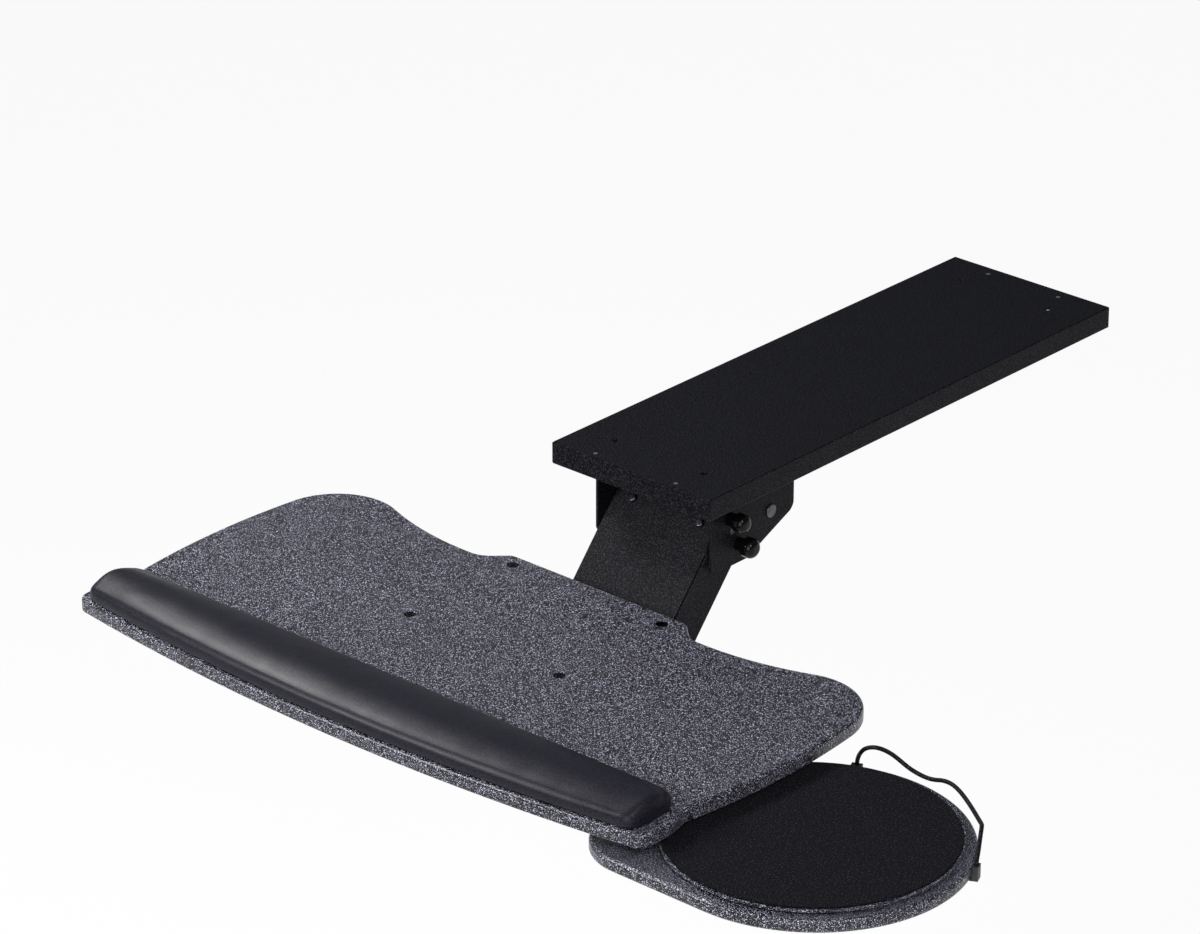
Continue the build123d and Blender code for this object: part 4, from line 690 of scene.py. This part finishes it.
class Finishes(Enum):
    """The finishes of the object's pieces."""

    BOARD = HammertoneBoard("hammertone_on_fibreboard", 0.34)
    FRAME = PowderCoat("powder_coated_steel", 0.5)
    # The paler colour and specks on the broken edges of powder-coated parts are a painted edge
    # highlight; the edges are also glossier
    EDGE = PowderCoat("powder_coat_painted_edge_highlight", 0.32, colour="#141417", speck="#5a5a62", gloss=0.8)
    # Bright zinc from a plating barrel: silver grey with soft highlights
    ZINC = PlatedSteel("zinc_plated_steel", 0.34)
    # Oil-tempered wire and pins: dark grey, with the oil's uneven gloss
    SPRING = PlatedSteel("oiled_spring_steel", 0.38, colour="#6f7276", dark="#3c3e42")
    # Black-passivated zinc on a machined head: dark, with a sharp glint
    BLACK_SCREW = PlatedSteel(
        "black_zinc_screw", 0.22, colour="#55555c", dark="#34343a", cloud_mm=3.0
    )
    # Undyed nylon: ivory
    NATURAL_NYLON = MouldedPlastic("natural_nylon", 0.42, colour="#d3d0c4", highlight="#e0ddd2")
    # Dyed nylon from a spark-eroded mould: satin black
    BLACK_NYLON = MouldedPlastic("moulded_black_nylon", 0.5)
    # Rubber from a coarser mould: dull, nearly black
    RUBBER = MouldedPlastic(
        "moulded_rubber",
        0.75,
        colour="#131313",
        highlight="#1e1e1e",
        texture_mm=1.4,
        relief_mm=0.05,
    )
    # ABS from a polished mould: gloss black
    KNOB = MouldedPlastic(
        "gloss_black_abs",
        0.14,
        colour="#050506",
        highlight="#09090b",
        texture_mm=1.0,
        relief_mm=0.004,
        gloss=0.16,
    )
    CLOTH = PadCloth("jersey_cloth", 0.95)
    LEATHERETTE = Leatherette("grained_leatherette", 0.38)


EDGE_SEGMENTS = 2
EDGE_ANGLE_DEG = 50


def dress_nodes(finish: Finishes, *nodes: str, edge_mm: float = 0.0) -> list[str]:
    """Give CAD nodes a finish and break their sharp edges.

    Args:
        finish: The finish.
        nodes: The nodes' names.
        edge_mm: Width of the broken edge, or zero to leave the edges alone.

    Returns:
        The nodes' names.
    """
    for name in nodes:
        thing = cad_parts[name]
        slots = thing.data.materials
        slots.clear()
        slots.append(finish.value.material())
        if edge_mm:
            bevel = thing.modifiers.new("broken_edges", "BEVEL")
            bevel.width = edge_mm * MM
            bevel.segments = EDGE_SEGMENTS
            bevel.limit_method = "ANGLE"
            bevel.angle_limit = math.radians(EDGE_ANGLE_DEG)
            bevel.use_clamp_overlap = True
            bevel.harden_normals = True
            # Powder-coated parts get a paler material on their bevels: a painted edge highlight
            if finish is Finishes.FRAME:
                slots.append(Finishes.EDGE.value.material())
                bevel.material = 1
    return list(nodes)


# Studio and camera


@dataclass(frozen=True)
class Softbox:
    """A square softbox that is aimed at the tray.

    Attributes:
        name: The lamp's name.
        place_m: Where it hangs.
        side_m: Length of its sides.
        power_w: Its power.
    """

    name: str
    place_m: Point
    side_m: float
    power_w: float


@dataclass
class Studio:
    """Pale floor, soft light and the camera at the photograph's angle."""

    focal_mm: float = 165.66
    sensor_mm: float = 36.0
    azimuth_deg: float = 41.87
    elevation_deg: float = 24.83
    eye_shift_mm: Point = (-53.4, 126.2, 4592.4)
    screw_middle_mm: Point = (0.0, -120.0, -95.0)
    far_m: float = 400.0
    softboxes: Sequence[Softbox] = (
        Softbox("key_softbox", (-0.77, -1.36, 0.71), 0.4, 19.0),
        Softbox("side_softbox", (-1.08, -0.15, 1.06), 0.4, 16.0),
        Softbox("overhead_softbox", (0.2, -1.1, 1.5), 1.4, 4.0),
        Softbox("rim_softbox", (1.3, -0.45, 1.0), 0.4, 8.0),
        Softbox("fill_softbox", (1.5, -2.3, 0.6), 2.0, 42.0),
    )
    aim_m: Point = (0.1, -0.2, -0.1)
    sky: str = "#e9eef6"
    sky_strength: float = 0.22
    floor_mm: float = -720.0
    floor_half_m: float = 120.0
    floor_colour: str = "#f7f7f7"
    floor_roughness: float = 0.9
    floor_white_share: float = 0.93

    def camera(self) -> bpy.types.Object:
        """Place the camera.

        Returns:
            The camera.
        """
        a, e = math.radians(self.azimuth_deg), math.radians(self.elevation_deg)
        ahead = Vector((-math.sin(a) * math.cos(e), math.cos(a) * math.cos(e), -math.sin(e)))
        right = Vector((math.cos(a), math.sin(a), 0.0))
        up = right.cross(ahead)
        x, y, z = self.eye_shift_mm
        eye = (Vector(self.screw_middle_mm) - right * x + up * y - ahead * z) * MM
        data = bpy.data.cameras.new("photo_camera")
        data.sensor_width = self.sensor_mm
        data.sensor_fit = "HORIZONTAL"
        data.lens = self.focal_mm
        data.clip_end = self.far_m
        camera = bpy.data.objects.new("photo_camera", data)
        turn = Matrix((right, up, -ahead)).transposed().to_4x4()
        camera.matrix_world = Matrix.Translation(eye) @ turn
        bpy.context.scene.collection.objects.link(camera)
        bpy.context.scene.camera = camera
        return camera

    def light(self) -> None:
        """Hang the softboxes and set the world's even light."""
        for softbox in self.softboxes:
            data = bpy.data.lights.new(softbox.name, "AREA")
            data.shape = "SQUARE"
            data.size = softbox.side_m
            data.energy = softbox.power_w
            lamp = bpy.data.objects.new(softbox.name, data)
            lamp.location = softbox.place_m
            ahead = Vector(self.aim_m) - Vector(softbox.place_m)
            lamp.rotation_euler = ahead.to_track_quat("-Z", "Y").to_euler()
            bpy.context.scene.collection.objects.link(lamp)
        world = bpy.data.worlds.new("studio_world")
        bpy.context.scene.world = world
        world.use_nodes = True
        tree = world.node_tree
        tree.nodes.clear()
        even = add_node(
            tree,
            "ShaderNodeBackground",
            inputs={"Color": linear(self.sky), "Strength": self.sky_strength},
        )
        add_node(tree, "ShaderNodeOutputWorld", inputs={"Surface": even.outputs[0]})

    def floor(self) -> bpy.types.Object:
        """Lay the pale floor far below the tray.

        Returns:
            The floor.
        """
        half, z = self.floor_half_m, self.floor_mm * MM
        corners = [(-half, -half, z), (half, -half, z), (half, half, z), (-half, half, z)]
        floor = mesh_object("floor", corners, [(0, 1, 2, 3)])
        material = bpy.data.materials.new("pale_floor")
        material.use_nodes = True
        tree = material.node_tree
        shader = tree.nodes["Principled BSDF"]
        shader.inputs["Base Color"].default_value = linear(self.floor_colour)
        shader.inputs["Roughness"].default_value = self.floor_roughness
        glow = add_node(
            tree, "ShaderNodeEmission", inputs={"Color": (1, 1, 1, 1), "Strength": 1.0}
        )
        share = add_node(
            tree,
            "ShaderNodeMath",
            {"operation": "MULTIPLY"},
            {0: seen_straight(tree), 1: self.floor_white_share},
        )
        mixed = add_node(
            tree,
            "ShaderNodeMixShader",
            inputs={0: share.outputs[0], 1: shader.outputs[0], 2: glow.outputs[0]},
        )
        tree.links.new(mixed.outputs[0], tree.nodes["Material Output"].inputs["Surface"])
        floor.data.materials.append(material)
        return floor


# The object's sub-assemblies


@dataclass
class Track:
    """Track and the carriage that slides in it."""

    edge_mm: float = 0.35

    def build(self) -> list[str]:
        """Dress the track and the carriage.

        Returns:
            The pieces' names.
        """
        pieces = dress_nodes(
            Finishes.FRAME, "track_channel", "track_front_cap", edge_mm=self.edge_mm
        )
        pieces += dress_nodes(Finishes.RUBBER, "front_bumpers", "rear_bumpers")
        pieces += dress_nodes(
            Finishes.ZINC,
            "cap_rivets",
            "rear_bumper_screws",
            "glide_plate",
            "swivel_hub",
            "swivel_bolt",
            "swivel_washer",
            "swivel_nut",
        )
        pieces += dress_nodes(Finishes.NATURAL_NYLON, "glide_runners", "swivel_bearing")
        return pieces


@dataclass
class LiftArm:
    """Swivel bracket, arm, springs, link and head.

    The springs are fixed meshes that don't follow the arm; near_wires and far_turns_short are not
    used.
    """

    pivot_mm: Point = (0.0, 62.6, -70.0)
    arm_slope_deg: float = 49.5
    wire_mm: float = 1.75
    coil_mm: float = 10.5
    pitch_mm: float = 4.3
    turns: int = 6
    inner_mm: float = 12.0
    fixed_leg_mm: float = 47.0
    arm_leg_mm: float = 54.0
    leg_tilt_deg: float = 9.5
    wire_sides: int = 12
    turn_steps: int = 36
    leg_steps: int = 6
    near_wires: float = 1.2
    far_turns_short: float = 0.2
    plate_edge_mm: float = 0.4
    channel_edge_mm: float = 0.9
    screw_edge_mm: float = 0.5

    def spring_route(self, side: int) -> list[Vector]:
        """Work out one spring's centre line from its coil's formula.

        Args:
            side: 1 for the right spring and -1 for the left.

        Returns:
            Points in metres, from the fixed leg's end to the arm leg's end.
        """
        sweep = math.radians(360 * self.turns + self.arm_slope_deg - self.leg_tilt_deg)
        climb = self.pitch_mm * sweep / math.tau
        lean = climb / (sweep * self.coil_mm)
        steps = self.turn_steps * self.turns
        _, y0, z0 = self.pivot_mm
        coil = []
        for n in range(steps + 1):
            turned = n / steps
            polar = math.pi / 2 + sweep * turned
            x = self.inner_mm + climb * turned
            y, z = y0 + self.coil_mm * math.cos(polar), z0 + self.coil_mm * math.sin(polar)
            coil.append(Vector((x, y, z)))
        end = math.pi / 2 + sweep
        leave = Vector((lean, -1.0, 0.0)).normalized()
        arrive = Vector((lean, -math.sin(end), math.cos(end))).normalized()
        shares = [k / self.leg_steps for k in range(self.leg_steps + 1)]
        first = [coil[0] - leave * (self.fixed_leg_mm * (1 - share)) for share in shares[:-1]]
        last = [coil[-1] + arrive * (self.arm_leg_mm * share) for share in shares[1:]]
        return [Vector((p.x * side, p.y, p.z)) * MM for p in (*first, *coil, *last)]

    def springs(self) -> list[bpy.types.Object]:
        """Wind both springs as fixed meshes.

        Returns:
            The springs.
        """
        made = []
        for side, label in ((1, "right"), (-1, "left")):
            skin = tube(self.spring_route(side), self.wire_mm * MM, self.wire_sides)
            spring = mesh_object(f"spring_{label}", *skin)
            spring.data.materials.append(Finishes.SPRING.value.material())
            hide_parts("counterbalance_springs")
            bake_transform(spring)
            made.append(spring)
        return made

    def build(self) -> list[str]:
        """Dress the steel parts and wind the springs.

        Returns:
            The pieces' names.
        """
        pieces = dress_nodes(
            Finishes.FRAME,
            "swivel_bracket",
            "tilt_head",
            "levelling_link",
            "friction_quadrant",
            edge_mm=self.plate_edge_mm,
        )
        pieces += dress_nodes(
            Finishes.FRAME, "arm_channel", "arm_cover", edge_mm=self.channel_edge_mm
        )
        pieces += dress_nodes(
            Finishes.SPRING,
            "main_shaft",
            "link_anchor_pin",
            "spring_rod",
            "lower_shaft",
            "link_head_pin",
            "tilt_pin",
        )
        pieces += dress_nodes(Finishes.BLACK_SCREW, "cover_screws", edge_mm=self.screw_edge_mm)
        pieces += dress_nodes(
            Finishes.NATURAL_NYLON, "friction_shoe", "arm_bushes", "head_bushes"
        )
        pieces += dress_nodes(Finishes.KNOB, "height_lock_knob", "tension_knob", "tilt_knob")
        return pieces + [spring.name for spring in self.springs()]


@dataclass
class WristRest:
    """Long cushion of foam under leatherette, stuck on the tray's front edge.

    The two tucks list the cushion's lower edges, each point with its distance inside the face
    and its height over the board. end_crowding is how strongly the sections crowd to the ends.
    """

    half_mm: float = 306.0
    tray_front_mm: float = -367.54
    inset_mm: float = 0.8
    depth_mm: float = 80.0
    bow_mm: float = 23.4
    bow_half_mm: float = 316.5
    base_mm: float = -95.0
    front_mm: float = 14.0
    crown_mm: float = 19.6
    crown_back_mm: float = 34.0
    back_mm: float = 14.5
    back_fall_power: float = 1.9
    front_corner_mm: float = 11.0
    back_corner_mm: float = 17.0
    ridge_mm: float = 8.5
    ridge_lean_deg: float = 18.0
    back_round_mm: float = 8.0
    back_round_share: float = 0.8
    end_round_mm: float = 7.0
    end_height_share: float = 0.45
    front_tuck_mm: Sequence[tuple[float, float]] = ((2.2, 0.0), (0.6, 1.6), (0.0, 4.0))
    back_tuck_mm: Sequence[tuple[float, float]] = ((0.0, 3.0), (0.5, 1.4), (2.2, 0.0))
    stations: int = 150
    end_crowding: float = 0.35
    end_gap_mm: float = 0.05
    ridge_steps: int = 6
    top_steps: int = 14
    back_steps: int = 6
    held_mm: float = 2.0
    pressure: float = 1.2
    swell_frames: int = 12
    frame_steps: int = 4
    swell_cap_mm: float = 0.8

    @staticmethod
    def drawn_in(side: float, radius: float) -> float:
        """Work out how far a rounded corner draws the front or back face in.

        Args:
            side: Distance from the cushion's end, in millimetres.
            radius: The corner's radius, in millimetres.

        Returns:
            The distance that the face moves in, in millimetres.
        """
        if side >= radius:
            return 0.0
        return radius - math.sqrt(max(radius**2 - (radius - side) ** 2, 0.0))

    def lift_at(self, side: float) -> float:
        """Work out how far the rounded end lowers the cushion.

        Args:
            side: Distance from the cushion's end, in millimetres.

        Returns:
            The share of the full height that is left there.
        """
        if side >= self.end_round_mm:
            return 1.0
        arch = math.sqrt(max(1 - (1 - side / self.end_round_mm) ** 2, 0.0))
        return self.end_height_share + (1 - self.end_height_share) * arch

    def section(self, x: float) -> list[Point]:
        """Outline of the cushion across its length at one place.

        Args:
            x: Distance from the tray's middle, in millimetres.

        Returns:
            A closed ring of points in metres.
        """
        side = self.half_mm - abs(x)
        lift = self.lift_at(side)
        bow = self.bow_mm * (x / self.bow_half_mm) ** 2
        front = self.tray_front_mm + self.inset_mm + bow + self.drawn_in(side, self.front_corner_mm)
        back = self.tray_front_mm + self.depth_mm - self.drawn_in(side, self.back_corner_mm)
        depth = back - front
        crown = min(self.crown_back_mm, depth / 2)
        top_front, top_crown, top_back = (
            height * lift for height in (self.front_mm, self.crown_mm, self.back_mm)
        )
        ridge = min(self.ridge_mm, depth / 4, top_front / 2)
        rear = min(self.back_round_mm, depth / 4, top_back * self.back_round_share)
        points = [(front + inside, height) for inside, height in self.front_tuck_mm]
        points.append((front, top_front - ridge))
        for n in range(1, self.ridge_steps + 1):
            turn = math.radians((90 - self.ridge_lean_deg) * n / self.ridge_steps)
            across, fall = ridge * (1 - math.cos(turn)), ridge * (1 - math.sin(turn))
            points.append((front + across, top_front - fall))
        start, shoulder = points[-1][0] - front, points[-1][1]
        for n in range(1, self.top_steps):
            y = front + start + (depth - start - rear) * n / self.top_steps
            if y - front < crown:
                s = (y - front - start) / max(crown - start, TINY)
                height = shoulder + (top_crown - shoulder) * math.sin(s * math.pi / 2)
            else:
                s = (y - front - crown) / max(depth - rear - crown, TINY)
                height = top_crown - (top_crown - top_back) * s**self.back_fall_power
            points.append((y, height))
        for n in range(self.back_steps + 1):
            turn = math.radians(90 * n / self.back_steps)
            across, fall = rear * (1 - math.sin(turn)), rear * (1 - math.cos(turn))
            points.append((back - across, top_back - fall))
        points += [(back - inside, height) for inside, height in self.back_tuck_mm]
        return [(x * MM, y * MM, (self.base_mm + z) * MM) for y, z in points]

    def skin(self) -> bpy.types.Object:
        """Loft the cushion from its sections, closer together towards the ends.

        Returns:
            The cushion.
        """
        rings = []
        for n in range(self.stations + 1):
            share = n / self.stations
            crowded, even = math.sin(math.pi * (share - 0.5)), 2 * share - 1
            place = self.end_crowding * crowded + (1 - self.end_crowding) * even
            rings.append(self.section(place * (self.half_mm - self.end_gap_mm)))
        return mesh_object("wrist_rest_cushion", *loft(rings))

    def swell(self, cushion: bpy.types.Object) -> None:
        """Let the foam press the cover out a little, held at the base.

        Args:
            cushion: The cushion.
        """
        base = (self.base_mm + self.held_mm) * MM
        held = cushion.vertex_groups.new(name="held")
        held.add([v.index for v in cushion.data.vertices if v.co.z < base], 1.0, "REPLACE")
        before = [v.co.copy() for v in cushion.data.vertices]
        cloth = cushion.modifiers.new("cloth", "CLOTH")
        settings = cloth.settings
        settings.effector_weights.gravity = 0.0
        settings.use_pressure = True
        settings.uniform_pressure_force = self.pressure
        settings.vertex_group_mass = "held"
        settings.quality = self.frame_steps
        cloth.collision_settings.use_collision = False
        scene = bpy.context.scene
        for step in range(1, self.swell_frames + 1):
            scene.frame_set(step)
        graph = bpy.context.evaluated_depsgraph_get()
        moved = cushion.evaluated_get(graph).to_mesh()
        after = [v.co.copy() for v in moved.vertices]
        cap = self.swell_cap_mm * MM
        for vertex, old, new in zip(cushion.data.vertices, before, after):
            shift = new - old
            if shift.length > cap:
                shift *= cap / shift.length
            vertex.co = old + shift
        cushion.evaluated_get(graph).to_mesh_clear()
        cushion.modifiers.remove(cloth)
        scene.frame_set(1)

    def build(self) -> list[str]:
        """Make the cushion and dress its base.

        Returns:
            The pieces' names.
        """
        cushion = self.skin()
        self.swell(cushion)
        smooth = cushion.modifiers.new("rounding", "SUBSURF")
        smooth.levels = smooth.render_levels = 1
        cushion.data.materials.append(Finishes.LEATHERETTE.value.material())
        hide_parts("wrist_rest")
        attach(cushion, "tray")
        return [cushion.name, *dress_nodes(Finishes.BLACK_NYLON, "wrist_rest_base")]


@dataclass
class TrayBoard:
    """Keyboard board with its bracket and screws."""

    bracket_edge_mm: float = 0.3
    screw_edge_mm: float = 0.6

    def build(self) -> list[str]:
        """Dress the board, the bracket and the screws.

        Returns:
            The pieces' names.
        """
        pieces = dress_nodes(Finishes.BOARD, "keyboard_tray")
        pieces += dress_nodes(Finishes.FRAME, "tray_bracket", edge_mm=self.bracket_edge_mm)
        pieces += dress_nodes(Finishes.BLACK_SCREW, "tray_screws", edge_mm=self.screw_edge_mm)
        return pieces + dress_nodes(Finishes.ZINC, "tray_nuts")


@dataclass
class MousePlatform:
    """Swing-out platform with its disc, cloth pad and wire guard.

    The pad's edge lists shares of its radius, each with a height over its underside. The guard's
    route lists angles round the pad, gaps outside the rim and heights over the platform.
    """

    pad_mm: tuple[float, float] = (390.497, -229.360)
    pad_under_mm: float = -112.024
    pad_radius_mm: float = 118.4
    pad_edge: Sequence[tuple[float, float]] = (
        (0.985, 0.0),
        (0.9975, 0.15),
        (1.0, 0.5),
        (0.9985, 1.0),
        (0.994, 1.38),
        (0.985, 1.5),
    )
    pad_thick_mm: float = 1.5
    pad_rings: Sequence[float] = (0.97, 0.93, 0.85, 0.7, 0.5, 0.3, 0.12)
    pad_sides: int = 160
    rim_mm: float = 129.5
    top_mm: float = -116.024
    wire_mm: float = 1.8
    wire_facets: int = 5
    curve_steps: int = 10
    curve_order: int = 3
    route: Sequence[tuple[float, float, float]] = (
        (114.0, 2.4, -6.0),
        (114.0, 2.4, 0.5),
        (113.4, 0.8, 6.5),
        (112.2, -1.6, 12.5),
        (110.3, -2.7, 17.5),
        (107.0, -3.2, 20.3),
        (103.5, -3.5, 20.3),
        (100.0, -3.5, 18.4),
        (96.5, -3.5, 15.0),
        (92.5, -3.5, 10.8),
        (88.0, -3.5, 8.8),
        (83.5, -3.3, 8.6),
        (79.5, -2.9, 10.4),
        (75.5, -2.6, 14.0),
        (70.5, -1.9, 15.9),
        (66.0, -0.6, 14.2),
        (61.0, -0.2, 12.3),
        (55.0, -0.3, 11.8),
        (49.0, 0.0, 12.4),
        (43.0, 0.9, 14.4),
        (38.4, 2.0, 17.2),
        (36.6, 2.1, 17.6),
        (33.0, 1.5, 12.5),
        (28.0, 1.8, 6.0),
        (24.6, 2.3, 3.0),
        (24.0, 2.4, 0.0),
        (24.0, 2.4, -6.0),
    )
    moulded_edge_mm: float = 0.3

    def pad(self) -> bpy.types.Object:
        """Make the cloth pad with its cut edge rounded.

        Returns:
            The pad.
        """
        x0, y0 = self.pad_mm
        profile = [*self.pad_edge, *((share, self.pad_thick_mm) for share in self.pad_rings)]
        rings = []
        for share, height in profile:
            r = share * self.pad_radius_mm
            z = self.pad_under_mm + height
            turns = (math.tau * n / self.pad_sides for n in range(self.pad_sides))
            rings.append(
                [((x0 + r * math.cos(t)) * MM, (y0 + r * math.sin(t)) * MM, z * MM) for t in turns]
            )
        return mesh_object("mouse_pad_cloth", *loft(rings))

    def round_pad(self, angle: float, gap: float, height: float) -> Vector:
        """Point at an angle round the pad, a gap outside the rim and a height over the platform.

        Args:
            angle: Degrees round the pad from +X.
            gap: Millimetres outside the rim.
            height: Millimetres over the platform's top.

        Returns:
            The point in metres.
        """
        reach = self.rim_mm + gap
        turn = math.radians(angle)
        x = self.pad_mm[0] + reach * math.cos(turn)
        y = self.pad_mm[1] + reach * math.sin(turn)
        return Vector((x, y, self.top_mm + height)) * MM

    def guard(self) -> bpy.types.Object:
        """Bend the wire guard as one smooth curve with a sharp elbow at the right.

        Returns:
            The guard.
        """
        data = bpy.data.curves.new("wire_guard", "CURVE")
        data.dimensions = "3D"
        data.bevel_depth = self.wire_mm * MM
        data.bevel_resolution = self.wire_facets
        data.use_fill_caps = True
        data.resolution_u = self.curve_steps
        points = [self.round_pad(*place) for place in self.route]
        spline = data.splines.new("NURBS")
        spline.points.add(len(points) - 1)
        for control, place in zip(spline.points, points):
            control.co = (*place, 1.0)
        spline.order_u = self.curve_order
        spline.use_endpoint_u = True
        guard = bpy.data.objects.new("wire_guard", data)
        bpy.context.scene.collection.objects.link(guard)
        return guard

    def build(self) -> list[str]:
        """Make the pad and the guard and dress the platform.

        Returns:
            The pieces' names.
        """
        pad = self.pad()
        pad.data.materials.append(Finishes.CLOTH.value.material())
        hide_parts("mouse_pad")
        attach(pad, "mouse")
        guard = self.guard()
        guard.data.materials.append(Finishes.FRAME.value.material())
        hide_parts("mouse_guard")
        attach(guard, "mouse")
        pieces = [pad.name, guard.name]
        pieces += dress_nodes(Finishes.BOARD, "mouse_platform", "pad_disc")
        pieces += dress_nodes(
            Finishes.BLACK_NYLON,
            "guard_clips",
            "mouse_pivot_spacer",
            edge_mm=self.moulded_edge_mm,
        )
        pieces += dress_nodes(
            Finishes.ZINC, "mouse_pivot_bolt", "mouse_pivot_washer", "mouse_pivot_nut"
        )
        return pieces


def main() -> None:
    """Build the studio and dress every sub-assembly."""
    logging.basicConfig(level=logging.INFO, format="%(message)s")
    bpy.context.scene.view_settings.view_transform = "Standard"
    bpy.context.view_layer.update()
    studio = Studio()
    studio.camera()
    studio.light()
    studio.floor()
    for assembly in (Track(), LiftArm(), TrayBoard(), WristRest(), MousePlatform()):
        for name in assembly.build():
            LOG.info("%s: %s", type(assembly).__name__, name)


if __name__ == "__main__":
    main()
